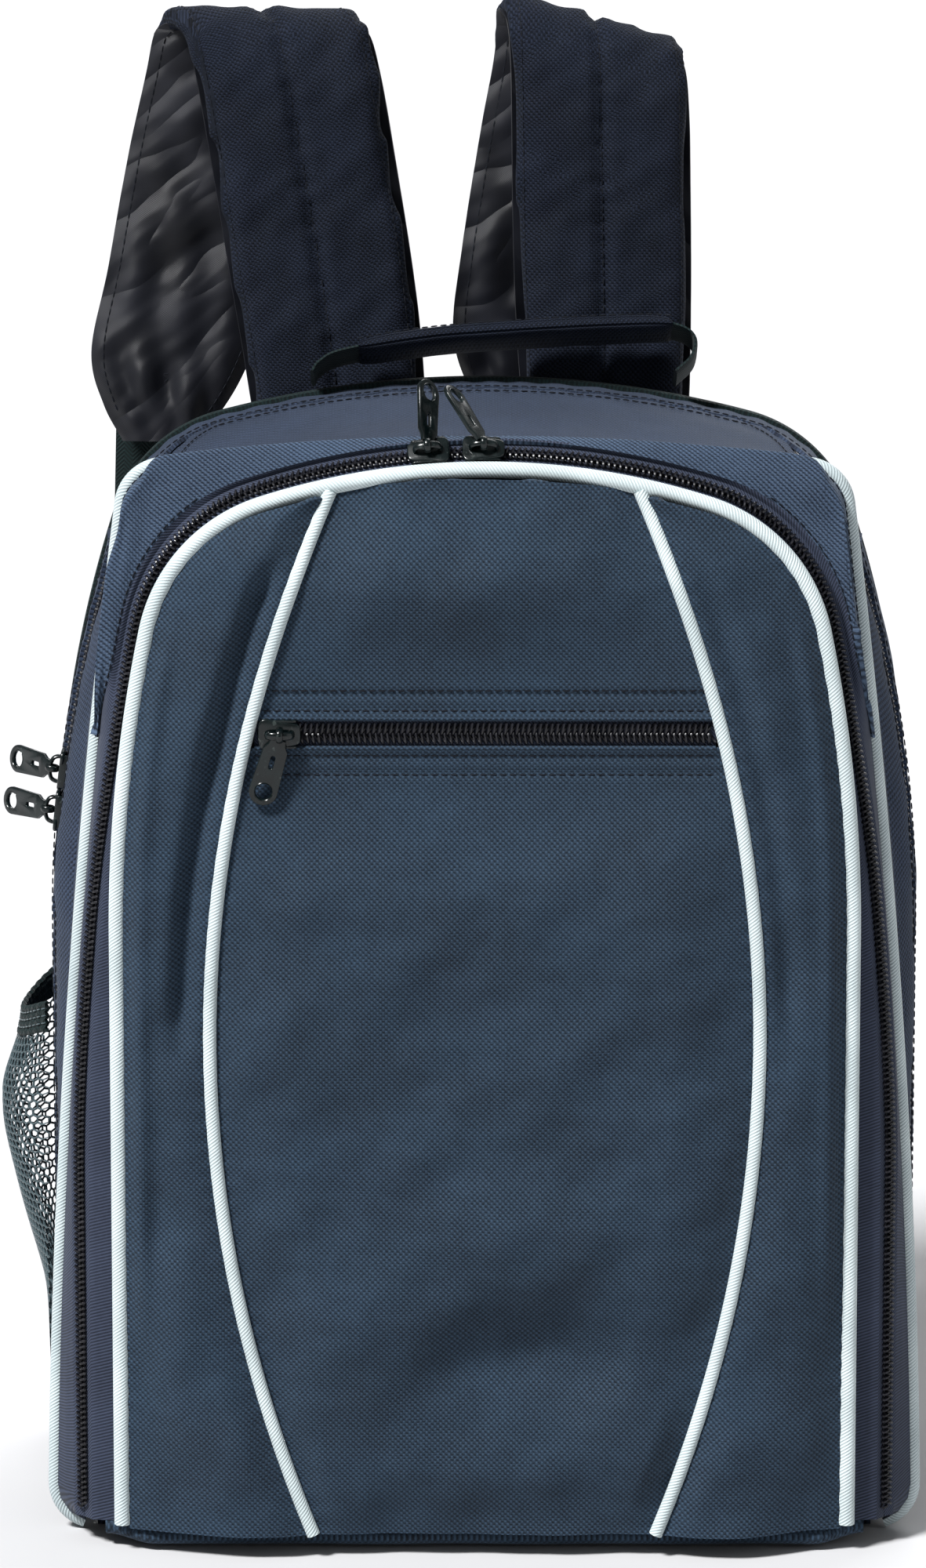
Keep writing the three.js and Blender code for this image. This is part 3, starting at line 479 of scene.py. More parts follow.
def paint(tree, shader, tone, dark, light):
    colour = blend_colours(tree, tone, linear(*dark), linear(*light))
    tree.links.new(colour, shader.inputs["Base Color"])


# ---- Materials ----
COOL_SHEEN = (0.75, 0.85, 1.0, 1.0)
RUBBED_METAL = (150, 165, 160)


def woven_cloth(name, dark, light, cell=0.95, twill=0.3, sheen=0.08, fade=0.35, specular=0.2):
    """Coarse polyester: yarn crossings in rows, bright as painted highlights and dark as painted shade,
    with a faint diagonal rib, some uneven fading and a soft sheen. cell is the distance between two
    crossings."""
    material, tree, shader = new_material(name, 0.8, Sheen_Weight=sheen, Sheen_Roughness=0.45,
                                          Sheen_Tint=COOL_SHEEN, Specular_IOR_Level=specular)
    places, u, v = cloth_places(tree)
    crossing = crossed(tree, u, v, 2 * cell)
    hump = calc(tree, "POWER", calc(tree, "ABSOLUTE", crossing), 0.5)
    rib = wave(tree, calc(tree, "ADD", u, v), 2 * cell)
    # Painted highlight and shade: crossings where the lengthwise yarn lies on top are made bright, as if
    # lit, and the others dark, as if shaded.
    yarn_light_and_shade = calc(tree, "POWER", calc(tree, "MULTIPLY_ADD", crossing, 0.5, 0.5), 1.9)
    weave = calc(tree, "ADD", calc(tree, "MULTIPLY", yarn_light_and_shade, 1 - twill), calc(tree, "MULTIPLY", rib, twill))
    patch = noise(tree, places, 1 / 38, 4.0)
    fibre = noise(tree, places, 1 / 0.9, 2.0, (1.0, 0.4, 1.0))
    cloudy = noise(tree, places, 1 / 5, 3.0)
    tone = weave
    for uneven, amount in ((patch, fade), (fibre, 0.9), (cloudy, 0.2)):
        tone = vary(tree, tone, uneven, amount)
    paint(tree, shader, remap(tree, tone, 0.0, 1.05, 0, 1), dark, light)
    height = calc(tree, "MULTIPLY_ADD", rib, twill, hump)
    add_bump(tree, shader, calc(tree, "MULTIPLY_ADD", fibre, 0.5, height), 0.16, 0.8)
    tree.links.new(remap(tree, patch, 0.3, 0.7, 0.74, 0.88), shader.inputs["Roughness"])
    return material


def ribbed_tape(name, dark, light, pitch=1.1, herringbone=0.0, roughness=0.75, sheen=0.25):
    """Narrow woven tape with diagonal ribs, which turn back every few millimetres where it is
    herringbone webbing."""
    material, tree, shader = new_material(name, roughness, Sheen_Weight=sheen, Specular_IOR_Level=0.2)
    places, u, v = cloth_places(tree)
    if herringbone:
        u = calc(tree, "PINGPONG", u, herringbone)
    rib = wave(tree, calc(tree, "ADD", u, v), pitch)
    fibre = noise(tree, places, 1 / 0.6, 2.0)
    patch = noise(tree, places, 1 / 20, 3.0)
    tone = calc(tree, "ADD", calc(tree, "MULTIPLY", rib, 0.7), calc(tree, "MULTIPLY", fibre, 0.35))
    paint(tree, shader, vary(tree, tone, patch, 0.5), dark, light)
    add_bump(tree, shader, calc(tree, "MULTIPLY_ADD", fibre, 0.4, rib), 0.14, 0.7)
    return material


def twisted_piping(name, dark, light):
    """White cord cover with fine slanting ribs, a little uneven in tone."""
    material, tree, shader = new_material(name, 0.6, Sheen_Weight=0.15)
    places, u, v = cloth_places(tree)
    rib = wave(tree, calc(tree, "MULTIPLY_ADD", v, 0.6, u), 1.15)
    fibre = noise(tree, places, 1 / 0.7, 2.0)
    patch = noise(tree, places, 1 / 30, 4.0)
    tone = calc(tree, "MULTIPLY_ADD", fibre, 0.3, calc(tree, "MULTIPLY", rib, 0.6))
    tone = calc(tree, "ADD", tone, remap(tree, patch, 0.3, 0.7, -0.1, 0.35))
    paint(tree, shader, tone, dark, light)
    add_bump(tree, shader, rib, 0.18, 0.8)
    return material


def coated_lining(name, dark, light):
    """Thin shiny lining with a fine grid weave and creases."""
    material, tree, shader = new_material(name, 0.34, Sheen_Weight=0.02, Specular_IOR_Level=0.28)
    places, u, v = cloth_places(tree)
    grid = calc(tree, "MULTIPLY_ADD", crossed(tree, u, v, 0.6), 0.5, 0.5)
    slanting = noise(tree, places, 1 / 19, 1.5, (2.6, 1.0, 1.0), -0.8)
    crease = calc(tree, "MULTIPLY", calc(tree, "ABSOLUTE", calc(tree, "SUBTRACT", slanting, 0.5)), 2.0)
    patch = noise(tree, places, 1 / 30, 3.0)
    tone = calc(tree, "MULTIPLY_ADD", grid, 0.2, remap(tree, patch, 0.3, 0.7, 0.1, 0.7))
    paint(tree, shader, tone, dark, light)
    tree.links.new(remap(tree, patch, 0.3, 0.7, 0.3, 0.46), shader.inputs["Roughness"])
    add_bump(tree, shader, calc(tree, "MULTIPLY_ADD", grid, 0.03, crease), 4.0, 0.8)
    return material


def moulded(name, dark, light, roughness, grain=0.5, coat=0.0, specular=0.5, wear=0.0):
    """Plastic or enamelled metal with a fine grain, uneven gloss and rubbed spots."""
    material, tree, shader = new_material(name, roughness, Coat_Weight=coat, Coat_Roughness=0.12,
                                          Specular_IOR_Level=specular)
    places = object_places(tree)
    fine = noise(tree, places, 1 / (grain * MM), 3.0)
    broad = noise(tree, places, 1 / (6 * MM), 3.0)
    tone = calc(tree, "MULTIPLY_ADD", fine, 0.3, remap(tree, broad, 0.35, 0.65, 0, 0.6))
    colour = blend_colours(tree, tone, linear(*dark), linear(*light))
    if wear:
        rubbed = remap(tree, noise(tree, places, 1 / (2.2 * MM), 6.0), 0.62, 0.70, 0, wear)
        colour = blend_colours(tree, rubbed, colour, linear(*RUBBED_METAL))
    tree.links.new(colour, shader.inputs["Base Color"])
    gloss = remap(tree, broad, 0.3, 0.7, roughness - 0.07, roughness + 0.1)
    tree.links.new(gloss, shader.inputs["Roughness"])
    add_bump(tree, shader, fine, 0.03, 0.5)
    return material


BODY_CLOTH = woven_cloth("slate_cloth", (10, 19, 29), (55, 75, 95))
# The corners' own twill, in a lighter copy of the slate cloth: the extra lightness is painted light from
# above on these upward-facing corners.
CORNER_CLOTH_PAINTED_LIGHT = woven_cloth("slate_cloth_corners_painted_light", (17, 25, 38), (78, 96, 120), twill=0.6)
GUSSET_CLOTH = woven_cloth("plum_gusset_cloth", (12, 17, 28), (58, 71, 94), twill=0.4)
PAD_CLOTH = woven_cloth("strap_cloth", (2, 4, 9), (34, 41, 57), cell=0.85, fade=0.6, sheen=0.02,
                        specular=0.12)
# Painted sheen: the gusset's cloth as it looks at grazing angles, lighter and greyer, for the strip
# behind the side piping.
SHEEN_STRIP_CLOTH = ribbed_tape("gusset_strip_painted_sheen", (20, 26, 36), (64, 74, 90), pitch=0.8, roughness=0.7, sheen=0.1)
ZIP_TAPE = ribbed_tape("zip_tape", (14, 18, 28), (60, 68, 88), sheen=0.05)
WEBBING = ribbed_tape("webbing", (1, 7, 8), (16, 36, 37), pitch=1.5, herringbone=3.1, sheen=0.05)
PIPING = twisted_piping("white_piping", (150, 163, 165), (212, 224, 226))
SIDE_PIPING = twisted_piping("side_piping_knit", (132, 146, 150), (198, 210, 212))
LINING = coated_lining("shiny_lining", (2, 3, 6), (26, 28, 37))
NET = ribbed_tape("net_thread", (20, 36, 42), (66, 86, 92), pitch=0.7, roughness=0.6)
THREAD = ribbed_tape("thread", (4, 6, 11), (17, 22, 33), pitch=0.5, sheen=0.02)
AIR_MESH = woven_cloth("back_mesh_cloth", (12, 15, 22), (52, 60, 76), cell=1.6, twill=0.5, fade=0.3)
COIL = moulded("zip_coil", (4, 4, 7), (22, 22, 30), 0.34, specular=0.45)
ENAMEL = moulded("dark_enamel", (2, 7, 8), (10, 22, 23), 0.24, coat=0.15, specular=0.35, wear=0.08)
PLASTIC = moulded("black_plastic", (5, 6, 7), (26, 27, 30), 0.42, grain=0.9)


# ---- Moving the cloth ----
def bake(thing):
    """Replaces the object's mesh with what its modifiers make of it."""
    graph = bpy.context.evaluated_depsgraph_get()
    mesh = bpy.data.meshes.new_from_object(thing.evaluated_get(graph))
    thing.modifiers.clear()
    thing.data = mesh
    return thing


def read_points(owners, key):
    """One vector per vertex or normal, as rows of an array."""
    numbers = np.zeros(len(owners) * 3)
    owners.foreach_get(key, numbers)
    return numbers.reshape(-1, 3)


def mesh_points(mesh):
    return read_points(mesh.vertices, "co") / MM


def set_points(mesh, points):
    mesh.vertices.foreach_set("co", (np.asarray(points) * MM).ravel())
    mesh.update()


def mesh_normals(mesh):
    return read_points(mesh.vertex_normals, "vector")


PUFF_PRESSURE = 4.0
PUFF_FRAMES = 20


def inflated(name, node, voxel, most):
    """A copy of a CAD node, puffed up by a short cloth simulation. No point moves further than
    most."""
    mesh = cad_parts[node].data.copy()
    mesh.transform(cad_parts[node].matrix_world)
    mesh.materials.clear()
    thing = link_object(name, mesh)
    remesh = thing.modifiers.new("even", "REMESH")
    remesh.mode = "VOXEL"
    remesh.voxel_size = voxel * MM
    bake(thing)
    start = mesh_points(thing.data)
    cloth = thing.modifiers.new("puff", "CLOTH")
    cloth.settings.effector_weights.gravity = 0
    cloth.settings.use_pressure = True
    cloth.settings.uniform_pressure_force = PUFF_PRESSURE
    cloth.settings.quality = 5
    for step in range(PUFF_FRAMES):
        bpy.context.scene.frame_set(step + 1)
    bake(thing)
    bpy.context.scene.frame_set(1)
    moved = mesh_points(thing.data) - start
    lengths = np.linalg.norm(moved, axis=1, keepdims=True)
    set_points(thing.data, start + moved * np.minimum(1, most / np.maximum(lengths, 1e-6)))
    round_off = thing.modifiers.new("round", "SMOOTH")
    round_off.factor = 0.6
    round_off.iterations = 3
    finer = thing.modifiers.new("finer", "SUBSURF")
    finer.levels = 1
    finer.render_levels = 1
    return bake(thing)


def curve_through(points, count):
    """A smooth line through points, with evenly spread results."""
    points = np.asarray(points, float)
    ends = np.concatenate([[2 * points[0] - points[1]], points, [2 * points[-1] - points[-2]]])
    pieces = []
    for a, b, c, d in zip(ends[:-3], ends[1:-2], ends[2:-1], ends[3:]):
        t = np.linspace(0, 1, 24, endpoint=False)[:, None]
        bent = (c - a) * t + (2 * a - 5 * b + 4 * c - d) * t ** 2 + (3 * b - a - 3 * c + d) * t ** 3
        pieces.append(b + bent / 2)
    return even_line(np.concatenate([*pieces, points[-1:]]), count)


def even_line(line, count):
    """The line with count points, spread evenly along it."""
    lengths = lengths_along(line)
    wanted = np.linspace(0, lengths[-1], count)
    return np.stack([np.interp(wanted, lengths, numbers) for numbers in line.T], axis=1)


# ---- Stitches and coils ----
STITCH_PITCH = 3.2
STITCH_LENGTH = 2.3
STITCH_RADIUS = 0.3
SPINDLE_SIDES = 5
SPINDLE_RINGS = ((0, 0.4), (0.2, 0.9), (0.8, 0.9), (1, 0.4))    # share of its length, and radius


def stitch_points(line, facing):
    """Small spindles of thread along a line; facing points out of the cloth."""
    line = np.asarray(line, float)
    count = max(int(lengths_along(line)[-1] / STITCH_PITCH), 1)
    fine = even_line(line, count * 4 + 1)
    starts = fine[:-4:4]
    ends = fine[4::4]
    ends = starts + (ends - starts) * STITCH_LENGTH / STITCH_PITCH
    facing = np.asarray(facing, float)
    if facing.ndim == 2:
        facing = unit(even_line(facing, count))
    along = unit(ends - starts)
    side = unit(np.cross(along, np.broadcast_to(facing, along.shape)))
    rings = []
    for share, radius in SPINDLE_RINGS:
        for turn in range(SPINDLE_SIDES):
            angle = turn * 2 * math.pi / SPINDLE_SIDES
            wide = side * math.cos(angle)
            high = facing * (math.sin(angle) + 0.35 - 0.9 * abs(share - 0.5))
            rings.append(mix(starts, ends, share) + (wide + high) * STITCH_RADIUS * radius)
    return np.stack(rings, axis=1)


def spindle_faces(count):
    """The faces of count spindles, each closed at both ends."""
    sides, rings = SPINDLE_SIDES, len(SPINDLE_RINGS)
    faces = []
    for first in range(0, count * sides * rings, sides * rings):
        for ring in range(first, first + sides * (rings - 1), sides):
            for turn in range(sides):
                a = ring + turn
                b = ring + (turn + 1) % sides
                faces.append([a, b, b + sides, a + sides])
        last = first + sides * (rings - 1)
        faces.append(list(range(first + sides - 1, first - 1, -1)))
        faces.append(list(range(last, last + sides)))
    return faces


def stitching(name, rows, material):
    """One mesh of stitches along several lines. Each row is a line and what it faces."""
    spindles = np.concatenate([stitch_points(line, facing) for line, facing in rows])
    points = spindles.reshape(-1, 3)
    return many_sided(name, points, spindle_faces(len(spindles)), points[:, ::2], material, 0)


COIL_WIDTH = 1.75
COIL_MIDDLE = 1.55
COIL_HEIGHT = 0.8
COIL_THREAD = 0.46
COIL_SLANT = 0.42
COIL_TURN_SAMPLES = 8


def coil_mesh(name, low, high, place, late):
    """Half of a zip's coil, wound from one length along the zip to another, and late by a share
    of a turn. place turns a length, a distance from the zip's middle and a height into a point."""
    turns = (high - low) / COIL_PITCH - 1
    angle = np.linspace(0, turns * 2 * math.pi, int(turns * COIL_TURN_SAMPLES))
    across = COIL_MIDDLE + COIL_WIDTH * np.cos(angle)
    proud = COIL_HEIGHT * np.sin(angle)
    along = low + (angle / (2 * math.pi) + late) * COIL_PITCH + COIL_SLANT * across
    line = place(along, across, proud)
    core = place(along, np.full_like(along, COIL_MIDDLE), np.zeros_like(along))
    return tube_mesh(name, line, COIL_THREAD, COIL, 5, unit(line - core))


# ---- The main compartment ----
COIL_SINK = 0.95
BINDING_Y = 77.2
AROUND = 420                # how many points the cloth has round the body


def finish_front(thing, slot, *replaced):
    """A piece of the front section, whose transform is baked into its mesh."""
    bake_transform(thing)
    return label(thing, slot, *replaced)


def finish_half(thing, body, slot, *replaced):
    """Half of a zip, which rides a body or, where that is none, is finished as a piece of the front
    section.
    """
    if body:
        return finish_piece(thing, body, slot, *replaced)
    return finish_front(thing, slot, *replaced)


def round_the_body():
    """Even lengths along the dome's outline, from its left bottom end to its right one."""
    return np.linspace(-DOME_END, DOME_END, AROUND)


def skin_folds(length, y, seed):
    """How far the gusset's cloth stands out, in slow waves and small creases."""
    slow = ripples(length, y, 75, seed)
    small = ripples(length, y, 22, seed + 1)
    return 1.0 * slow + 0.3 * small


def gusset(name, low_y, high_y, rows, seed):
    """Cloth round the body between two depths, which may change along it. The zip is beside the
    first of a rear gusset's edges and the last of a front gusset's."""
    length = round_the_body()[None, :]
    share = np.linspace(0, 1, rows)[:, None]
    start, end = low_y(length), high_y(length)
    along = mix(start[0], end[0], share)
    depth = mix(start[1], end[1], share)
    edge = smooth(np.minimum(share, 1 - share), 0, 0.3)
    pucker = 0.25 * np.sin(length / 2.1 + 2 * np.sin(length / 17)) * (1 - edge)
    zip_share = 1 - share if name.startswith("rear") else share
    lip = top_share(along) * (1.6 * smooth(zip_share, 0.55, 0.96) + 0.9 * smooth(zip_share, 0.90, 1.0))
    grid = skin_at(along, depth, -(skin_folds(along, depth, seed) * edge + pucker + lip))
    return cloth_sheet(name, grid, stack(along, depth), GUSSET_CLOTH)


def main_compartment():
    rear = gusset("rear_side_cloth", lambda along: zip_offset(along, tape_edge(along)),
                  lambda along: (along, BINDING_Y + 0 * along), 26, 3)
    finish_piece(rear, "bag_body", "body_cloth", "rear_gusset")
    front = gusset("front_side_cloth", lambda along: (along, SEAM_Y + 8.0 + 0 * along),
                   lambda along: zip_offset(along, 2.0 - tape_edge(along)), 14, 11)
    finish_front(front, "body_cloth", "front_gusset")
    main_zip()
    back_binding()


def main_zip():
    length = round_the_body()
    for side, name, body, late in ((1, "rear", "bag_body", 0.0), (-1, "front", None, 0.5)):
        distances = side * np.array([0.1, 4.0, 9.0, 14.0, 18.5])
        along, depth = zip_offset(length[None, :], distances[:, None])
        tape = cloth_sheet("main_tape_" + name, skin_at(along, depth, 1.6), stack(along, depth),
                           ZIP_TAPE, TAPE_CLOTH)

        def place(along, across, proud, side=side):
            beside, depth = zip_offset(along, side * across)
            return skin_at(beside, depth, COIL_SINK - proud)

        coil = coil_mesh("main_coil_" + name, 3 - DOME_END, DOME_END - 3, place, late)
        edge_along, edge_depth = zip_offset(length, side * (tape_edge(length) + 2.6))
        edge_line = skin_at(edge_along, edge_depth, -0.25 - 2.2 * top_share(length))
        facing = edge_line - skin_at(edge_along, edge_depth, 5.0)
        stitches = stitching("main_zip_stitches_" + name, [(edge_line, facing)], THREAD)
        finish_half(tape, body, "zip_tape", "main_zip_tape_" + name)
        finish_half(coil, body, "zip_teeth", "main_zip_teeth_" + name)
        finish_half(stitches, body, "body_cloth")


# The back binding's section: depths, and how far inside the skin.
BINDING_PROFILE = ((77.3, 0.2), (77.4, -1.2), (78.3, -1.6), (80.4, -1.6), (81.4, -1.2), (81.5, 1.2))


def band_round_body(name, depth, inward, material, thickness):
    """A narrow band round the body, from the depths and the sinks of its rows."""
    along, depth, inward = np.broadcast_arrays(round_the_body(), depth[:, None], inward[:, None])
    grid = skin_at(along, depth, inward)
    return cloth_sheet(name, grid, stack(along, depth), material, thickness)


def back_binding():
    depth, inward = np.array(BINDING_PROFILE).T
    binding = band_round_body("back_edge_binding", depth, inward, WEBBING, 0.8)
    finish_piece(binding, "bag_body", "webbing", "back_binding")


def edge_strip():
    """The strip right behind the side piping: two soft ridges with a groove between, in a lighter, greyer
    cloth that is a painted sheen.
    """
    share = np.linspace(0, 1, 13)
    ridge = 0.5 + 1.2 * np.abs(np.sin(2 * math.pi * share)) ** 0.7
    depth = mix(SEAM_Y + 2.2, SEAM_Y + 8.4, share)
    strip = band_round_body("side_edge_strip", depth, -ridge, SHEEN_STRIP_CLOTH, 1.2)
    finish_front(strip, "webbing")


# ---- The front section ----
CHAIN_Y = -66.0
SLANT = math.sqrt(0.5)
U_COIL_SQUEEZE = 0.66       # the U zip's coil is narrower than the others
CORNER_BEND = 0.82          # the share of the corner cloth's width before its fold
SHEET_INSET = 5             # how far the flat linings end inside the outlines
FLOOR_PROFILE = ((-44, 1.4), (-60, 1.3), (-72, 1.6), (-76.0, 3.4), (-76.6, 5.6), (-75.2, 7.6))


def chain_point(s, across, proud):
    """A place on the U zip's band, which faces outwards and forwards round the arch."""
    place = outline_place(ARCH_OUTLINE, s)
    offset = mix(14.0, 4.5, smooth(place["z"], 130, 300)) + (across + proud) * SLANT
    return offset_point(place, offset, CHAIN_Y + (across - proud) * SLANT)


def corner_edge(s):
    """The corner cloth's edge beside the zip: it leaves the seam low down and nears the chain."""
    seam = offset_point(outline_place(FRONT_OUTLINE, s), 0, SEAM_Y - 3.2)
    share = smooth(outline_place(ARCH_OUTLINE, s)["z"], CORNER_LOW_Z, 304)[..., None]
    heading = outline_place(ARCH_OUTLINE, s)["heading"]
    topness = (1 - smooth(heading, 10, 40))[..., None]
    near_chain = mix(chain_point(s, 5.6, 1.4), chain_point(s, 4.4, 1.2), topness)
    return mix(seam, near_chain, share)


def ruled(edges, shares):
    """A grid that runs from one line to the next, with the lines lying at the given shares."""
    rows = []
    for share in shares:
        position = share * (len(edges) - 1)
        index = min(int(position), len(edges) - 2)
        rows.append(mix(edges[index], edges[index + 1], position - index))
    return np.stack(rows)


def u_zip_edges(s):
    """The lines that the two tapes run between, from the flap's edge out to the corner cloth."""
    behind = offset_point(outline_place(ARCH_OUTLINE, s), -2, ARCH_Y + 3)
    inner = [behind, chain_point(s, -4.6, -0.3), chain_point(s, -0.1, -0.9)]
    beside = chain_point(s, 4.4, 0)
    outer_edge = mix(beside, corner_edge(s), 0.99)
    lengths = np.interp(s, FINE_S, ARCH_LENGTHS)
    sag = 0.22 * np.sin(lengths / 9)[:, None] * np.array([0, 1, 0])
    half_way = mix(beside, outer_edge, 0.5) + sag
    outer = [chain_point(s, 0.1, -0.9), chain_point(s, 4.4, -0.6), half_way, outer_edge]
    return inner, outer, lengths


def u_zip():
    s = even_arch(AROUND)
    inner, outer, lengths = u_zip_edges(s)
    halves = (("inner", -1, "front_flap", inner, 0.5), ("outer", 1, None, outer, 0.0))
    for name, side, body, edges, late in halves:
        grid = ruled(edges, np.linspace(0, 1, 13))
        uv = stack(lengths, lengths_along(grid[:, AROUND // 2])[:, None])
        tape = cloth_sheet("u_tape_" + name, grid, uv, ZIP_TAPE, TAPE_CLOTH)
        finish_half(tape, body, "zip_tape", "u_zip_tape_" + name)

        def place(along, across, proud, side=side):
            return chain_point(arch_s(along), side * across * U_COIL_SQUEEZE, proud)

        ends = (ARCH_LENGTHS[0] + 3, ARCH_LENGTHS[-1] - 3)
        coil = coil_mesh("u_coil_" + name, *ends, place, late)
        finish_half(coil, body, "zip_teeth", "u_zip_teeth_" + name)


def corner_cloth():
    """The cloth of the upper corners and the top, from the zip over a soft fold to the seam."""
    high = FINE_S[outline_place(ARCH_OUTLINE, FINE_S)["z"] > CORNER_LOW_Z + CORNER_TIP]
    s = even_arch(300, high[0], high[-1])
    front = outline_place(FRONT_OUTLINE, s)
    topness = 1 - smooth(front["heading"], 4, 40)
    overhang = 3.2 * smooth(-front["x"], 90, 130) * (1 - smooth(front["z"], 335, 352))
    drawn_in = 2.6 * smooth(front["x"], 100, 132)
    fold = offset_point(front, 6 * topness + 0.6 + overhang - drawn_in, mix(-62.5, -60.0, topness))
    seam = offset_point(front, 0, SEAM_Y - 2.4)
    opened = smooth(front["z"], CORNER_LOW_Z, 312)
    fold = mix(seam, fold, opened[..., None])
    shares = np.linspace(0, 1, 30)
    grid = np.stack([mix(corner_edge(s), fold, t / CORNER_BEND) if t <= CORNER_BEND
                     else mix(fold, seam, (t - CORNER_BEND) / (1 - CORNER_BEND)) for t in shares])
    for _ in range(5):
        grid[1:-1] = (grid[:-2] + 2 * grid[1:-1] + grid[2:]) / 4
    lengths = np.interp(s, FINE_S, ARCH_LENGTHS)
    across = shares[:, None] * 30
    lift = 1.5 * ripples(lengths, across, 55, 21) + 0.4 * ripples(lengths, across, 16, 22)
    lift = lift * np.sin(math.pi * shares)[:, None] * opened * (1 - 0.85 * topness)
    grid = grid + grid_normals(grid) * lift[..., None]
    uv = stack(grid[..., 0], grid[..., 2] + grid[..., 1])
    cloth = cloth_sheet("corner_cloth", grid, uv, CORNER_CLOTH_PAINTED_LIGHT)
    finish_front(cloth, "body_cloth", "front_surround")
    facing = grid_normals(grid)
    outward = facing if np.sum(facing * (grid - BAG_MIDDLE)) > 0 else -facing
    in_corner = (opened > 0.5) & (topness < 0.3)
    rows = []
    for row, keep in ((1, in_corner & (s < 0)), (1, in_corner & (s > 0)), (-3, opened > 0.5)):
        rows.append((grid[row, keep] + outward[row, keep] * 0.2, outward[row, keep]))
    finish_front(stitching("corner_stitches", rows, THREAD), "body_cloth")


def side_piping():
    s = np.interp(np.linspace(-DOME_END, DOME_END, 500), DOME_LENGTHS, FINE_S)
    line = offset_point(outline_place(FRONT_OUTLINE, s), 0.6, SEAM_Y)
    piping = tube_mesh("side_piping_cord", line, PIPING_RADIUS, SIDE_PIPING, 14)
    finish_front(piping, "piping", "side_piping")


def flat_sheet(name, outline, y):
    """A flat upright lining inside an outline, with its width, height and area in metres."""
    s = np.linspace(0.02, STEPS, 120)
    left = offset_point(outline_place(outline, -s), -SHEET_INSET, y)
    right = offset_point(outline_place(outline, s), -SHEET_INSET, y)
    grid = mix(left, right, np.linspace(0, 1, 40)[:, None, None])
    sheet = cloth_sheet(name, grid, grid[..., ::2], LINING, LINING_CLOTH, away=BEHIND_BAG)
    width, _, height = np.ptp(grid.reshape(-1, 3), axis=0)
    steps = np.abs(np.diff(left[:, 2]))
    widths = (right - left)[:, 0]
    area = np.sum(steps * (widths[1:] + widths[:-1]) / 2)
    return sheet, width * MM, height * MM, area * MM * MM


def front_floor():
    """The cloth under the flap: a flat floor that turns up in a low lip along the front."""
    profile = curve_through(FLOOR_PROFILE, 24)
    x = np.linspace(-129, 129, 120)[None, :]
    turned_up = smooth(np.abs(x), 112, 129)
    y = profile[:, :1] + 6.0 * turned_up
    z = profile[:, 1:2] + 2.2 * turned_up + 0.25 * ripples(x, profile[:, :1], 40, 91)
    grid = stack(x, y, z)
    return cloth_sheet("front_floor_cloth", grid, stack(x, y), BODY_CLOTH)


def front_section():
    edge_strip()
    side_piping()
    u_zip()
    corner_cloth()
    finish_front(front_floor(), "body_cloth", "front_base")
    divider, width, height, area = flat_sheet("divider_sheet", FRONT_OUTLINE, SEAM_Y)
    finish_front(divider, "lining_cloth", "divider_panel")


# ---- The front flap ----
ARCH_TOP_Z = 370            # just under the arch's top, where it still has a width
LINING_TOP_Z = 363
POCKET_TAPE_HALF = 76.5     # half the length of the pocket zip's tape and of the folds over it
FOLD_GAP = 5.0              # from the pocket zip's middle to the folded edges beside it
TOPSTITCH_ROWS_Z = (298.3, 291.6, 276.5, 270.0)


def arch_half(z, inset=0.0):
    """Half the flap's width at a height, drawn in from its edge."""
    left = offset_point(outline_place(ARCH_OUTLINE, np.linspace(-STEPS, 0, 1200)), -inset, 0)
    return np.interp(z, left[:, 2], -left[:, 0])


def barrel_half(z):
    return BARREL_HALF - BARREL_CURVE * (np.asarray(z) - BARREL_MIDDLE_Z) ** 2


def face_y(x, z):
    """The flap's plain face: flat in the middle, falling back to the arch round its edge."""
    side = smooth(arch_half(np.minimum(z, ARCH_TOP_Z)) - np.abs(x), 0, 42)
    return mix(ARCH_Y, FRONT_FACE_Y, np.minimum(side, smooth(ARCH_OUTLINE[0] - z, 0, 42)))


# Places, widths, heights and sizes of the larger swellings and hollows in the flap's cloth.
FLAP_BUMPS = (
    ((-113, 232), 9, 26, 1.8), ((-108, 120), 8, 30, -1.4), ((112, 190), 8, 34, 1.5),
    ((106, 290), 10, 22, -1.6), ((-98, 300), 9, 24, 1.6), ((0, 330), 45, 22, 1.6),
    ((14, 68), 40, 17, -7.5), ((30, 112), 46, 24, 5.0), ((-44, 88), 24, 26, 3.4),
    ((-36, 214), 30, 40, 1.6), ((56, 40), 20, 22, 3.4), ((-54, 42), 26, 26, 3.6),
    ((4, 30), 40, 13, 3.4), ((30, 232), 40, 26, 1.8), ((-104, 84), 9, 30, 3.0),
    ((108, 84), 9, 34, 2.6),
)


def panel_swell(x, z, beside, to_arch):
    """How full the middle and the side panels are. Each side has a valley beside the inner
    piping, deepest on the left, and a ridge along the arch."""
    inside = 5.6 * smooth(-beside, 0, 30) * smooth(z - FLAP_BOTTOM_Z, -10, 70)
    share = np.clip(beside / np.maximum(beside + to_arch, 6), 0, 1)
    outside = 5.2 * np.sin(math.pi * share) ** 0.7
    valley = np.where(x < 0, -6.6, -2.97) * bell(beside, 9.5, 4.2)
    valley = valley * smooth(z, 165, 200) * (1 - smooth(z, 325, 348))
    ridge = 2.6 * bell(to_arch, 7.5, 3.5) * smooth(z, 60, 110) * (1 - smooth(z, 300, 335))
    return np.where(beside < 0, inside, outside + valley + ridge)


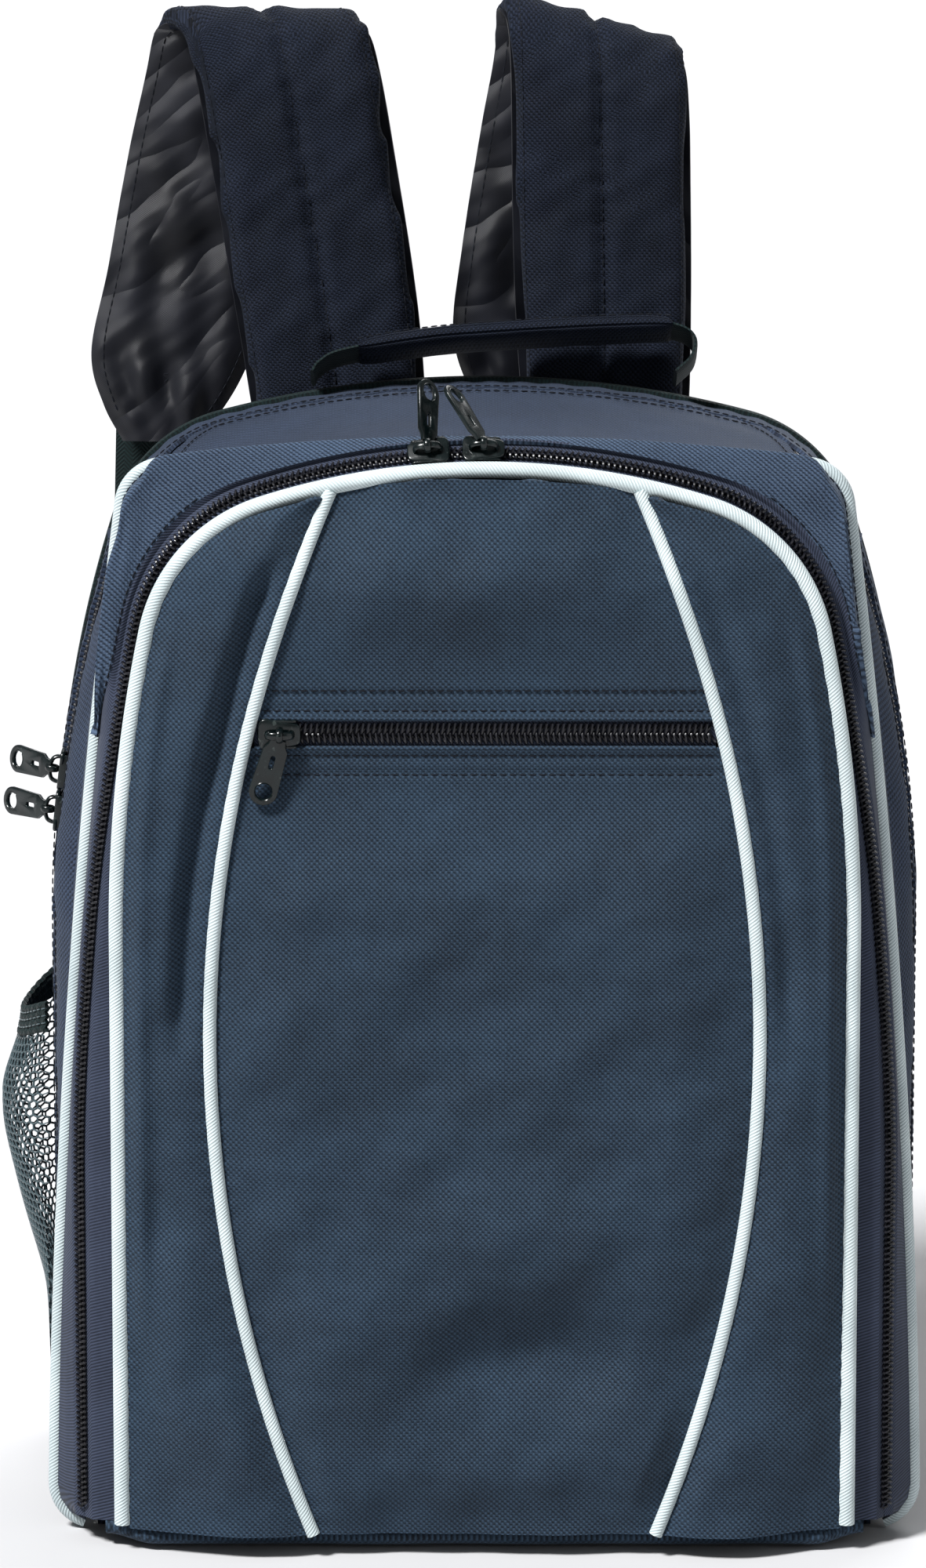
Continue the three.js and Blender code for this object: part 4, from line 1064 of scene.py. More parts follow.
def loose_cloth(x, z):
    """Slow waves, creases and bumps, which the seams hold down."""
    slow = 1.9 * ripples(x, z, 62, 5) + 0.7 * ripples(x, z, 26, 6) + 0.2 * ripples(x, z, 9, 7)
    slanting = 1.3 * np.sin((x * 0.8 + z * 0.6) / 8.5)
    total = slow + slanting * (1 - smooth(z, 20, 75)) * smooth(np.abs(x), 0, 40)
    for middle, width, height, size in FLAP_BUMPS:
        total = total + size * bell(x, middle[0], width) * bell(z, middle[1], height)
    return total


def flap_relief(x, z):
    """How far the flap's cloth stands out from its plain face."""
    beside = np.abs(x) - barrel_half(z)
    to_arch = arch_half(np.minimum(z, ARCH_TOP_Z)) - np.abs(x)
    near_seam = np.minimum(np.abs(beside), to_arch)
    pucker = 0.32 * np.sin(z / 1.25 + 2.5 * np.sin(z / 11)) * bell(near_seam, 0, 4.5)
    relief = panel_swell(x, z, beside, to_arch) + pucker
    relief = relief + loose_cloth(x, z) * smooth(near_seam, 1.5, 14)
    zip_gap = np.abs(z - POCKET_ZIP_Z)
    beside_zip = np.where(beside < 0, 1.0, 0.0)
    flat = 1 - beside_zip * (1 - smooth(zip_gap, 16, 60))
    seam = 0.9 * bell(zip_gap, 5.5, 2.2) - 0.6 * bell(zip_gap, 7.6, 1.2) - 0.6 * bell(zip_gap, 13.4, 1.0)
    return relief * flat + seam * beside_zip


def flap_y(x, z):
    return face_y(x, z) - flap_relief(x, z)


def flap_cloth(name, left, right, low_z, high_z, cuts, node, crowd=1.0):
    """A panel between two edges, with its cuts crowded towards the top where crowd is over 1."""
    rows, columns = cuts
    share = np.linspace(0, 1, rows)[:, None]
    z = mix(high_z, low_z, (1 - share) ** crowd)
    x = mix(left(z), right(z), np.linspace(0, 1, columns)[None, :])
    z = np.broadcast_to(z, x.shape)
    grid = stack(x, flap_y(x, z), z)
    cloth = cloth_sheet(name, grid, grid[..., ::2], BODY_CLOTH)
    return finish_piece(cloth, "front_flap", "body_cloth", node)


def flap_panels():
    def arch_edge(z):
        return arch_half(z, 2.0)

    def inner_edge(z):
        return np.minimum(barrel_half(z) - 1.2, arch_edge(z))

    def outer_edge(z):
        return np.minimum(barrel_half(z) + 1.2, arch_edge(z) - 0.5)

    def mirrored(edge):
        return lambda z: -edge(z)

    for side, left, right in (("left", mirrored(arch_edge), mirrored(outer_edge)),
                              ("right", outer_edge, arch_edge)):
        flap_cloth("side_cloth_" + side, left, right, FLAP_BOTTOM_Z, MEETING_Z, (300, 36),
                   "flap_side_panel_" + side)
    flap_cloth("upper_cloth", mirrored(inner_edge), inner_edge, POCKET_ZIP_Z + 4.9, 368.5, (90, 120),
               "flap_upper_panel", 1.3)
    flap_cloth("pocket_cloth", mirrored(inner_edge), inner_edge, FLAP_BOTTOM_Z, POCKET_ZIP_Z - 4.9,
               (230, 130), "pocket_front_panel")


def flap_edges():
    """The rolled edges of the cloth beside the pocket's zip, and its rows of topstitching."""
    x = np.linspace(-POCKET_TAPE_HALF, POCKET_TAPE_HALF, 160)
    for side, name in ((1, "upper"), (-1, "lower")):
        z = POCKET_ZIP_Z + side * FOLD_GAP + 0 * x
        line = stack(x, flap_y(x, z) + 0.75, z)
        roll = tube_mesh("zip_fold_" + name, line, 0.85, BODY_CLOTH, 10)
        finish_piece(roll, "front_flap", "body_cloth")
    rows = []
    for row_z in TOPSTITCH_ROWS_Z:
        z = row_z + 0 * x
        rows.append((stack(x, flap_y(x, z) - 0.12, z), (0, -1, 0)))
    finish_piece(stitching("pocket_topstitches", rows, THREAD), "front_flap", "body_cloth")


def flap_pipings():
    """The white cord round the arch and the two curved cords down the flap."""
    s = even_arch(520)
    line = offset_point(outline_place(ARCH_OUTLINE, s), 0, ARCH_Y)
    arch = tube_mesh("arch_piping_cord", line, PIPING_RADIUS, PIPING, 16)
    finish_piece(arch, "front_flap", "piping", "arch_piping")
    for name, side in (("left", -1), ("right", 1)):
        z = np.linspace(FLAP_BOTTOM_Z, MEETING_Z + 2, 320)
        x = side * barrel_half(z)
        line = stack(x, face_y(x, z) - 0.6, z)
        cord = tube_mesh("inner_cord_" + name, line, INNER_PIPING_RADIUS, PIPING, 14)
        finish_piece(cord, "front_flap", "piping", "inner_piping_" + name)


def pocket_zip():
    """The front pocket's straight zip."""
    x = np.linspace(-POCKET_TAPE_HALF, POCKET_TAPE_HALF, 60)
    z = np.linspace(POCKET_ZIP_Z - 11, POCKET_ZIP_Z + 11, 15)[:, None]
    grid = stack(x, FRONT_FACE_Y + 1.4, z)
    tape = cloth_sheet("pocket_tape", grid, grid[..., ::2], ZIP_TAPE, TAPE_CLOTH)
    finish_piece(tape, "front_flap", "zip_tape", "pocket_zip_tape")
    for side, name, late in ((1, "upper", 0.0), (-1, "lower", 0.5)):
        def place(along, across, proud, side=side):
            return stack(along, FRONT_FACE_Y + 0.25 - proud, POCKET_ZIP_Z + side * across)

        coil = coil_mesh("pocket_coil_" + name, -76, 76, place, late)
        finish_piece(coil, "front_flap", "zip_teeth", "pocket_zip_teeth")


def flap_lining():
    """The lining behind the whole flap, seen when the flap is open."""
    z = np.linspace(FLAP_BOTTOM_Z + 2, LINING_TOP_Z, 120)[:, None]
    half = arch_half(z, 5.2)
    x = half * np.linspace(-1, 1, 60)[None, :]
    z = np.broadcast_to(z, x.shape)
    grid = stack(x, face_y(x, z) + 4.2 + 0.4 * ripples(x, z, 30, 31), z)
    sheet = cloth_sheet("flap_inner_sheet", grid, grid[..., ::2], LINING, LINING_CLOTH,
                        away=IN_FRONT_OF_BAG)
    finish_piece(sheet, "front_flap", "lining_cloth", "flap_lining")


def front_flap():
    flap_panels()
    flap_edges()
    flap_pipings()
    pocket_zip()
    flap_lining()


# ---- The back and the base ----
BACK_LINING_Y = 75.6
BACK_CHANNELS_X = (-48.0, 48.0)
BACK_CHANNELS_Z = (112.0, 236.0)
CHANNEL_WIDTH = 3.2
CHANNEL_DEPTH = 2.6


def cover_pad(pad, points, places, material):
    """Gives a puffed-up pad its final points, its places on the flat cloth and its cloth."""
    set_points(pad.data, points)
    lay_uv(pad.data, places)
    pad.data.materials.append(material)
    pad.data.shade_smooth()


def back_pad():
    """The puffed-up back, quilted by crossing channels."""
    pad = inflated("back_pad", "back_panel", 5.5, 2.4)
    points = mesh_points(pad.data)
    x, y, z = points.T
    channel = sum(bell(x, middle + 10 * np.sin(z / 70), CHANNEL_WIDTH) for middle in BACK_CHANNELS_X)
    channel += sum(bell(z, middle + 14 * np.cos(x / 60), CHANNEL_WIDTH) for middle in BACK_CHANNELS_Z)
    rear = smooth(y, 83, BACK_Y)
    points[:, 1] += rear * (0.5 * ripples(x, z, 40, 41) - CHANNEL_DEPTH * np.minimum(channel, 1))
    cover_pad(pad, points, points[:, ::2], AIR_MESH)
    finish_piece(pad, "bag_body", "padding", "back_panel", "back_foam")


def back_and_base():
    back_pad()
    lining, width, height, area = flat_sheet("back_inner_sheet", DOME_OUTLINE, BACK_LINING_Y)
    finish_piece(lining, "bag_body", "lining_cloth", "back_lining")
    x = np.linspace(-133, 133, 28)[None, :]
    y = np.linspace(-44, 84, 14)[:, None]
    grid = stack(x, y, 0)
    floor_cloth = cloth_sheet("floor_cloth", grid, grid[..., :2], GUSSET_CLOTH, 3)
    finish_piece(floor_cloth, "bag_body", "body_cloth", "base_panel")


# ---- The side pocket ----
NET_PITCH = 3.1
POCKET_LOW_Z = 20.0
POCKET_HEM_Z = 161.5
POCKET_TOP_Z = 171.5
POCKET_WALL_X = -151.2
POCKET_WIDTH = 59


def pocket_point(across, z, proud=0.5):
    """The net's wall: it stands off most in the middle of its width, above half height."""
    upright = np.sin(math.pi * np.clip(across, 0, 1)) ** 0.8
    level = np.where(z > 138, 1 - 0.42 * smooth(z, 138, 171), smooth(z, 42, 132))
    sag = 7 * np.sin(math.pi * np.clip(across, 0, 1)) * smooth(z, 90, 165)
    x = POCKET_WALL_X - 17.5 * upright * level - proud
    return stack(x, mix(14, 14 + POCKET_WIDTH, across), z - sag)


def net_pocket():
    """A net of six-cornered holes, whose threads come from a wireframe modifier."""
    row_step = NET_PITCH * math.sqrt(3) / 2
    radius = NET_PITCH / math.sqrt(3)
    points, faces = [], []
    for row in range(int((POCKET_HEM_Z - POCKET_LOW_Z) / row_step)):
        for column in range(int(POCKET_WIDTH / NET_PITCH)):
            centre_u = (column + 0.5 + 0.5 * (row % 2)) * NET_PITCH
            centre_z = POCKET_LOW_Z + (row + 0.5) * row_step
            faces.append([len(points) + corner for corner in range(6)])
            for corner in range(6):
                angle = math.radians(30 + 60 * corner)
                points.append((centre_u + radius * math.cos(angle), centre_z + radius * math.sin(angle)))
    flat = np.array(points)
    wobble = 0.35 * ripples(flat[:, 0], flat[:, 1], 21, 51)
    grid = pocket_point(np.clip(flat[:, 0] / 60, 0, 1), flat[:, 1], 0.5 + wobble)
    net = many_sided("side_net", grid, faces, flat, NET, 0.2)
    threads = net.modifiers.new("threads", "WIREFRAME")
    threads.thickness = 0.95 * MM
    threads.use_even_offset = False
    bake(net)
    net.data.shade_smooth()
    finish_piece(net, "bag_body", "net", "mesh_pocket")


def pocket_hem():
    across = np.linspace(0, 1, 120)[None, :]
    share = np.linspace(0, 1, 25)[:, None]
    z = mix(POCKET_HEM_Z - 1, POCKET_TOP_Z, share)
    ridges = 0.8 * np.abs(np.sin(4 * math.pi * share)) ** 0.8 + 0.22 * np.sin(across * 90 + 3 * share)
    grid = pocket_point(across, z, ridges + 0.7)
    uv = stack(across * 75, z)
    hem = cloth_sheet("side_pocket_hem", grid, uv, WEBBING, 1.4)
    finish_piece(hem, "bag_body", "webbing", "pocket_hem")
    rows = []
    for height in (163.6, 166.2, 168.8):
        line = pocket_point(across[0], height + 0 * across[0], 1.5)
        rows.append((line, (-1, 0, 0)))
    finish_piece(stitching("hem_stitches", rows, NET), "bag_body", "webbing")


# ---- Bands: webbing, handle and straps ----
def band_frame(line, across):
    """Which way a band's upper face looks, all along its middle line."""
    tangent = unit(np.gradient(line, axis=0))
    return unit(np.cross(tangent, np.broadcast_to(across, line.shape)))


def band(name, line, across, half_width, thickness, material):
    """A flat band round a middle line, with rounded edges."""
    normal = band_frame(line, across)
    share = np.linspace(-1, 1, 9)[:, None, None]
    rounded = thickness / 2 * np.sqrt(np.maximum(1 - np.abs(share) ** 6, 0.15))
    outer = line + across * share * half_width + normal * rounded
    inner = line + across * share * half_width - normal * rounded
    uv = stack(share[..., 0] * half_width, lengths_along(line)).reshape(-1, 2)
    rows, count = outer.shape[:2]
    points = np.concatenate([outer.reshape(-1, 3), inner.reshape(-1, 3)])
    thing = four_sided(name, points, sheet_faces(rows, count), np.concatenate([uv, uv]), material)
    tidy_mesh(thing.data, 0.0001)
    return thing


HANDLE_LINE = (
    (-60, 381.5), (-57.5, 385), (-49, 389), (-20, 394), (12, 396.5),
    (44, 398.2), (64, 398.2), (73, 394.5), (73, 387.5), (67, 381.5),
)
HANDLE_LEAN = math.radians(26)
HANDLE_POINTS = 161
GRIP_POINTS = slice(20, 136)


def carry_handle():
    """The handle's webbing, bent up from its two ends."""
    base_z = HANDLE_LINE[0][1]
    line = curve_through([(x, 74 + (z - base_z) * 0.12, z) for x, z in HANDLE_LINE], HANDLE_POINTS)
    across = np.array([0, math.cos(HANDLE_LEAN), -math.sin(HANDLE_LEAN)])
    webbing = band("handle_band", line, across, 8.8, 1.7, WEBBING)
    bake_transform(webbing)
    label(webbing, "webbing", "handle_webbing")
    handle_grip(line[GRIP_POINTS], across)


def handle_grip(core, across):
    """The padded sleeve round the handle's webbing, with a seam on each edge."""
    normal = band_frame(core, across)
    share = np.linspace(0, 1, len(core))[:, None]
    swell = (1 - (2 * share - 1) ** 12) ** 0.5 * 0.75 + 0.25
    angle = np.linspace(0, 2 * math.pi, 41)
    cosine, sine = np.cos(angle), np.sin(angle)
    wide = np.sign(cosine) * np.abs(cosine) ** 0.55 * 9.9
    high = np.sign(sine) * np.abs(sine) ** 0.75 * 3.3
    seam = 1 - 0.12 * bell(np.abs(cosine), 0.93, 0.03)
    wrinkle = 1 + 0.05 * ripples(share * 120, angle * 6, 14, 61)
    rings = core[:, None] + across * (wide * seam)[:, None]
    rings = rings + normal[:, None] * (high * wrinkle * swell)[..., None]
    grip = round_piece("handle_pad", rings, stack(share * 116, angle * 5), PAD_CLOTH)
    finish_piece(grip, "carry_handle", "body_cloth", "handle_grip")
    rows = [(core + across * side * 7.6 + normal * 3.0, normal) for side in (-1, 1)]
    finish_piece(stitching("handle_stitches", rows, THREAD), "carry_handle", "body_cloth")


# Middle line of each strap, up from the back, over a fold and down behind: x, y, z, half width.
STRAPS = {
    "left": {"tilt": 0.5, "hinge": (-0.05, 0.0935, 0.352), "rows": (
        (-50, 93.5, 352, 31), (-53, 94.5, 384, 33), (-58, 97, 420, 34), (-64, 99, 457, 34),
        (-69, 100, 486, 34), (-73, 103.5, 502, 34), (-78, 112, 507.5, 34), (-83, 120.5, 502, 34),
        (-87, 124, 486, 33.5), (-95, 125.5, 452, 33), (-103, 125.5, 415, 32), (-111, 125, 385, 30),
        (-114, 124.7, 366, 23), (-116, 124.5, 353, 14))},
    "right": {"tilt": 15.0, "hinge": (0.043, 0.0935, 0.344), "rows": (
        (43, 93.5, 352, 31), (42.5, 94.5, 384, 33), (42, 97, 420, 34), (41.5, 99, 456, 34),
        (41, 100, 483, 34), (40, 103.5, 499, 34), (38.5, 112, 504.5, 34), (37, 120.5, 499, 34),
        (35, 124, 483, 33.5), (29, 125.5, 452, 33), (22, 125.5, 415, 32), (17, 125, 385, 30),
        (16, 124.7, 366, 23), (16, 124.5, 353, 14))},
}
STRAP_HALF_THICK = 4.0
TO_THE_RIGHT = np.array([1.0, 0, 0])
UPWARDS = np.array([0, 0, 1.0])
YOKE_Z = 323.0
YOKE_HALF = (88, 17)
STRAP_HEM = 5.5             # from a strap's edge to its stitches
ON_CLOTH = 0.1              # how proud of the cloth a strap's stitches lie


def strap_line(strap, count=320):
    rows = curve_through(strap["rows"], count)
    tilt = math.radians(strap["tilt"])
    across = np.array([math.cos(tilt), 0, -math.sin(tilt)])
    normal = band_frame(rows[:, :3], across)
    return rows[:, :3], rows[:, 3], across, normal


def nearest_on(line, points):
    """For each point, the number of the line's nearest place."""
    best = np.full(len(points), np.inf)
    index = np.zeros(len(points), int)
    for number, place in enumerate(line):
        distance = np.sum((points - place) ** 2, axis=1)
        closer = distance < best
        best[closer] = distance[closer]
        index[closer] = number
    return index


def laid_on(thing, line, facing, proud):
    """The line moved along facing until it lies on the piece, a little proud of it."""
    faces = [face.vertices[:] for face in thing.data.polygons]
    surface = BVHTree.FromPolygons(mesh_points(thing.data).tolist(), faces)
    laid = np.array(line, float)
    for index, (point, way) in enumerate(zip(line, facing)):
        hit = surface.ray_cast(Vector(point + way * 12), Vector(-way), 24)[0]
        if hit is not None:
            laid[index] = np.array(hit) + way * proud
    return laid


def strap_pad(side, strap):
    """A strap's padding, with a stitched groove along its middle and a hem along each edge."""
    line, half, across, normal = strap_line(strap)
    pad = inflated("strap_cushion_" + side, "strap_pad_" + side, 4.5, 2.2)
    points = mesh_points(pad.data)
    index = nearest_on(line, points)
    off_middle = np.sum((points - line[index]) * across, axis=1)
    along = index * np.linalg.norm(np.diff(line, axis=0), axis=1).mean()
    groove = 2.8 * bell(off_middle, 0, 2.0)
    edge = bell(half[index] - np.abs(off_middle), STRAP_HEM, 1.3)
    folds = 1.0 * ripples(along, off_middle, 34, 71) + 0.5 * ripples(along, off_middle, 13, 72)
    pucker = 0.25 * np.sin(along / 1.1) * bell(off_middle, 0, 5)
    outward = mesh_normals(pad.data)
    facing = np.abs(np.sum(outward * normal[index], axis=1))
    shift = (folds + pucker - groove - edge) * facing
    cover_pad(pad, points + outward * shift[:, None], stack(off_middle, along), PAD_CLOTH)
    finish_strap(pad, side, "body_cloth", "strap_pad_" + side)
    rows = []
    for facing in (-normal[6:-20], normal[6:-20]):
        rows.append((laid_on(pad, line[6:-20], facing, ON_CLOTH), facing))
    facing = -normal[6:-30]
    for edge in (-1, 1):
        path = line[6:-30] + across * edge * (half[6:-30] - STRAP_HEM)[:, None]
        rows.append((laid_on(pad, path, facing, ON_CLOTH), facing))
    finish_strap(stitching("strap_stitches_" + side, rows, THREAD), side, "body_cloth")


def finish_strap(thing, side, slot, *replaced):
    """A piece of a strap, whose transform is baked into its mesh."""
    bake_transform(thing)
    return label(thing, slot, *replaced)


def box_stitches(middle, width, height, facing=(0, 1, 0), right=TO_THE_RIGHT, up=UPWARDS):
    """The rows of a sewn box with a cross in it."""
    signs = ((-1, -1), (1, -1), (1, 1), (-1, 1))
    corner = [middle + right * a * width / 2 + up * b * height / 2 for a, b in signs]
    pairs = ((0, 1), (1, 2), (2, 3), (3, 0), (0, 2), (1, 3))
    return [(np.stack([corner[a], corner[b]]), facing) for a, b in pairs]


def strap_sheet(side, strap):
    """The shiny lining over a strap's pad, creased across and most of all near its end."""
    line, half, across, normal = strap_line(strap)
    share = np.linspace(-1, 1, 31)[:, None]
    lengths = lengths_along(line)
    width = half - 1.5
    rise = STRAP_HALF_THICK + 1.2 + 3.2 * (1 - np.abs(share) ** 4)
    rise = rise + 0.6 * ripples(lengths, share * 34, 30, 81) + 0.2 * ripples(lengths, share * 34, 12, 82)
    near_end = lengths[-1] - lengths
    crease = np.sin(share * 11 + near_end / 6.5 + 1.5 * np.sin(near_end / 17))
    slanting = np.sin(share * 7 - near_end / 9 + 1.2 * np.sin(near_end / 23 + share * 3))
    creases = 1.1 * crease * bell(near_end, 0, 100) + 0.8 * slanting
    rise = rise + creases * smooth(near_end, 0, 14) * (1 - share ** 4)
    grid = line + across * (share * width)[..., None] + normal * rise[..., None]
    uv = stack(share * width, lengths)
    far_below = (line[:, 0].mean(), 112, -2570)
    sheet = cloth_sheet("strap_sheet_" + side, grid, uv, LINING, TAPE_CLOTH, away=far_below)
    finish_strap(sheet, side, "lining_cloth", "strap_lining_" + side)
    rows = box_at_end(line, across, normal)
    inner, facing = line[8:-12], normal[8:-12]
    for edge in (-1, 1):
        path = inner + across * edge * (width[8:-12] - 4)[:, None]
        rows.append((laid_on(sheet, path, facing, ON_CLOTH), facing))
    finish_strap(stitching("strap_sheet_stitches_" + side, rows, THREAD), side, "lining_cloth")


def box_at_end(line, across, normal):
    """The sewn box near a strap's end, and the row that crosses the strap there."""
    at = int(len(line) * 0.92)
    up = -unit(line[at + 4] - line[at])
    face = normal[at]
    place = line[at] + face * (STRAP_HALF_THICK + 3.1)
    cross_row = np.stack([place + across * side + up * 2 for side in (-18, 18)])
    return box_stitches(place, 20, 22, face, across, up) + [(cross_row, face)]


LOCK_SLOTS = (-8.6, 0.0, 8.6)
STRAP_ENDS = {
    "left": {"tip": (-119, 131, 372), "lock": (-121.5, 124, 262), "anchor": (-124, 92.5, 34)},
    "right": {"tip": (18, 131, 372), "lock": (51, 124, 262), "anchor": (124, 92.5, 34)},
}


def plate_mesh(outlines, thickness, bevel):
    """A plate with rounded edges; the first outline is its edge and the others are its holes."""
    curve = bpy.data.curves.new("plate", "CURVE")
    curve.dimensions = "2D"
    curve.fill_mode = "BOTH"
    curve.extrude = (thickness / 2 - bevel) * MM
    curve.bevel_depth = bevel * MM
    curve.bevel_resolution = 2
    for outline in outlines:
        spline = curve.splines.new("POLY")
        spline.points.add(len(outline) - 1)
        for point, (x, y) in zip(spline.points, outline):
            point.co = (x * MM, y * MM, 0, 1)
        spline.use_cyclic_u = True
    thing = link_object("plate", curve)
    graph = bpy.context.evaluated_depsgraph_get()
    mesh = bpy.data.meshes.new_from_object(thing.evaluated_get(graph))
    bpy.data.objects.remove(thing)
    return mesh


def assembled(name, parts, placement, material):
    """One object from several meshes, each with its own matrix inside the placement."""
    work = bmesh.new()
    for mesh, matrix in parts:
        copy = mesh.copy()
        copy.transform(placement @ matrix)
        work.from_mesh(copy)
        bpy.data.meshes.remove(copy)
    mesh = bpy.data.meshes.new(name)
    work.to_mesh(mesh)
    work.free()
    mesh.materials.append(material)
    tidy_mesh(mesh)
    return link_object(name, mesh)


def arc(centre, radius, start, end, count):
    angle = np.radians(np.linspace(start, end, count))
    return stack(centre[0] + radius * np.cos(angle), centre[1] + radius * np.sin(angle))


def rounded_box(half_x, half_y, radius, middle=(0, 0)):
    corners = []
    for sign_x, sign_y, start in ((1, 1, 0), (-1, 1, 90), (-1, -1, 180), (1, -1, 270)):
        centre = (middle[0] + sign_x * (half_x - radius), middle[1] + sign_y * (half_y - radius))
        corners.append(arc(centre, radius, start, start + 90, 6))
    return np.concatenate(corners)


def ladder_lock(side, lock, tilt):
    """The moulded adjuster: a plate with three slots that the webbing runs through."""
    outlines = [rounded_box(16.6, 13.6, 4)]
    outlines += [rounded_box(13.6, 2.3, 1.4, (0, z)) for z in LOCK_SLOTS]
    plate = plate_mesh(outlines, 4.4, 0.7)
    placement = Matrix.Translation(Vector(lock) * MM) @ Matrix.Rotation(tilt, 4, "Y")
    buckle = assembled("strap_buckle_" + side, [(plate, turned(90, "X"))], placement, PLASTIC)
    finish_piece(buckle, "bag_body", "buckle", "ladder_lock_" + side)


def strap_webbing(side, end):
    """The webbing above and below a ladder lock."""
    tip, lock, anchor = (np.array(end[key], float) for key in ("tip", "lock", "anchor"))
    direction = unit(anchor - lock)
    ladder_lock(side, lock, -math.atan2(direction[0], -direction[2]))
    upper = curve_through([tip, lock - direction * 20, lock - direction * 4], 90)
    lower = curve_through([lock + direction * 6, lock + direction * 40, mix(lock, anchor, 0.6),
                           anchor + (0, 1, -8)], 160)
    for name, line in (("upper", upper), ("lower", lower)):
        across = unit(np.cross(line[-1] - line[0], (0, 1, 0)))
        lengths = np.linspace(0, np.linalg.norm(line[-1] - line[0]), len(line))
        line = line + np.array([0, 1, 0]) * (0.8 * np.sin(lengths / 23))[:, None]
        strip = band(name + "_strap_band_" + side, line, across, 12.5, 1.6, WEBBING)
        if name == "lower":
            finish_piece(strip, "bag_body", "webbing", "lower_webbing_" + side)
            continue
        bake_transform(strip)
        label(strip, "webbing", "upper_webbing_" + side)
    anchor_tab(side, np.array([anchor[0], BACK_Y + 4.6, anchor[2] - 11]))


def anchor_tab(side, middle):
    """The tab that holds the webbing's lower end on the back."""
    x = np.linspace(-17, 17, 24)[None, :]
    z = np.linspace(-11, 11, 16)[:, None]
    crown = 1.2 * (1 - (x / 17) ** 4) * (1 - (z / 11) ** 4)
    grid = stack(middle[0] + x, middle[1] - 1.4 + crown, middle[2] + z)
    tab = cloth_sheet("anchor_tab_" + side, grid, grid[..., ::2], GUSSET_CLOTH, 3.4)
    finish_piece(tab, "bag_body", "body_cloth", "webbing_anchor_" + side)
    stitches = stitching("anchor_stitches_" + side, box_stitches(middle, 24, 15), NET)
    finish_piece(stitches, "bag_body", "body_cloth")


def straps():
    for side, strap in STRAPS.items():
        strap_pad(side, strap)
        strap_sheet(side, strap)
        strap_webbing(side, STRAP_ENDS[side])
    yoke()


def yoke():
    """The patch that holds both straps on the back."""
    half_x, half_z = YOKE_HALF
    x = np.linspace(-half_x, half_x, 80)[None, :]
    z = np.linspace(YOKE_Z - half_z, YOKE_Z + half_z, 24)[:, None]
    crown = 0.8 * (1 - (x / half_x) ** 10) * (1 - ((z - YOKE_Z) / half_z) ** 6)
    grid = stack(x, BACK_Y + 1.5 + crown + 0.4 * ripples(x, z, 30, 91), z)
    patch = cloth_sheet("yoke_cloth", grid, grid[..., ::2], GUSSET_CLOTH)
    finish_piece(patch, "bag_body", "body_cloth", "strap_yoke")
    rows = []
    for x_middle in (-50, 43):
        rows += box_stitches(np.array([x_middle, BACK_Y + 2.6, YOKE_Z]), 50, 22)
    finish_piece(stitching("yoke_stitches", rows, NET), "bag_body", "body_cloth")


# ---- Zip sliders and pullers ----
BAR_HEIGHT = 5.3
PULLER_LENGTH = 25.0
PULLER_HALF = 4.8


def turned(degrees, axis):
    return Matrix.Rotation(math.radians(degrees), 4, axis)


def ring_mesh(line, radius, stretch, sides=12):
    """A bent wire as a bare mesh in metres, stretched along each axis."""
    thing = tube_mesh("wire", line, radius, ENAMEL, sides)
    mesh = thing.data
    mesh.transform(Matrix.Diagonal((*stretch, 1)))
    bpy.data.objects.remove(thing)
    return mesh


def slider_parts():
    half = [(-6.3, -1.2), (-5.9, -2.7), (-3.4, -3.4), (1.0, -3.8), (4.4, -4.7), (6.1, -3.9), (6.5, -1.5)]
    outline = np.array(half + [(x, -y) for x, y in reversed(half)])
    closed = curve_through(np.concatenate([outline, outline[:1]]), 56)[:-1]
    plate = plate_mesh([closed], 1.5, 0.6)
    lip = plate_mesh([rounded_box(5.4, 1.3, 0.9)], 0.9, 0.3)
    arch = [(-4.3, 0, 2.2), (-4.3, 0, 3.8), (-3.5, 0, 5.2), (-1.6, 0, 5.9), (1.6, 0, 5.9), (3.5, 0, 5.2),
            (4.3, 0, 3.8), (4.3, 0, 2.2)]
    bridge = ring_mesh(curve_through(arch, 48), 0.72, (1, 1.9, 1))
    parts = [(plate, Matrix.Translation((0, 0, 2.15 * MM))), (bridge, Matrix.Identity(4))]
    for side in (-1, 1):
        parts.append((lip, Matrix.Translation((0, side * 4.35 * MM, 1.0 * MM)) @ turned(90, "X")))
    return parts


def puller_parts(twist, lean):
    angle = np.linspace(0, 2 * math.pi, 40)
    loop = stack(0, 1.95 * np.cos(angle), 1.95 * np.sin(angle))
    ring = ring_mesh(loop, 0.6, (1.9, 1, 1))
    tip = (0, PULLER_LENGTH - PULLER_HALF - 0.3)
    reach = PULLER_HALF - 0.35
    tongue = np.concatenate([[(-2.3, 1.6), (2.3, 1.6), (2.6, 3.4), (reach - 0.6, 5.2)],
                             arc(tip, reach, 0, 180, 22), [(0.6 - reach, 5.2), (-2.6, 3.4)]])
    hole = arc(tip, 3.15, 0, 360, 29)[:-1]
    slot = rounded_box(1.1, 2.6, 1.0, (0, 9.4))
    round_hole = stack(tip[0] + 3.1 * np.cos(angle), tip[1] + 3.1 * np.sin(angle), 0)
    rim = ring_mesh(round_hole, 0.42, (1, 1, 2.1), 8)
    plate = plate_mesh([tongue, hole, slot], 1.5, 0.35)
    turn = turned(lean, "Y") @ turned(twist, "Z") @ turned(90, "X")
    return [(ring, Matrix.Identity(4)), (plate, turn), (rim, turn)]


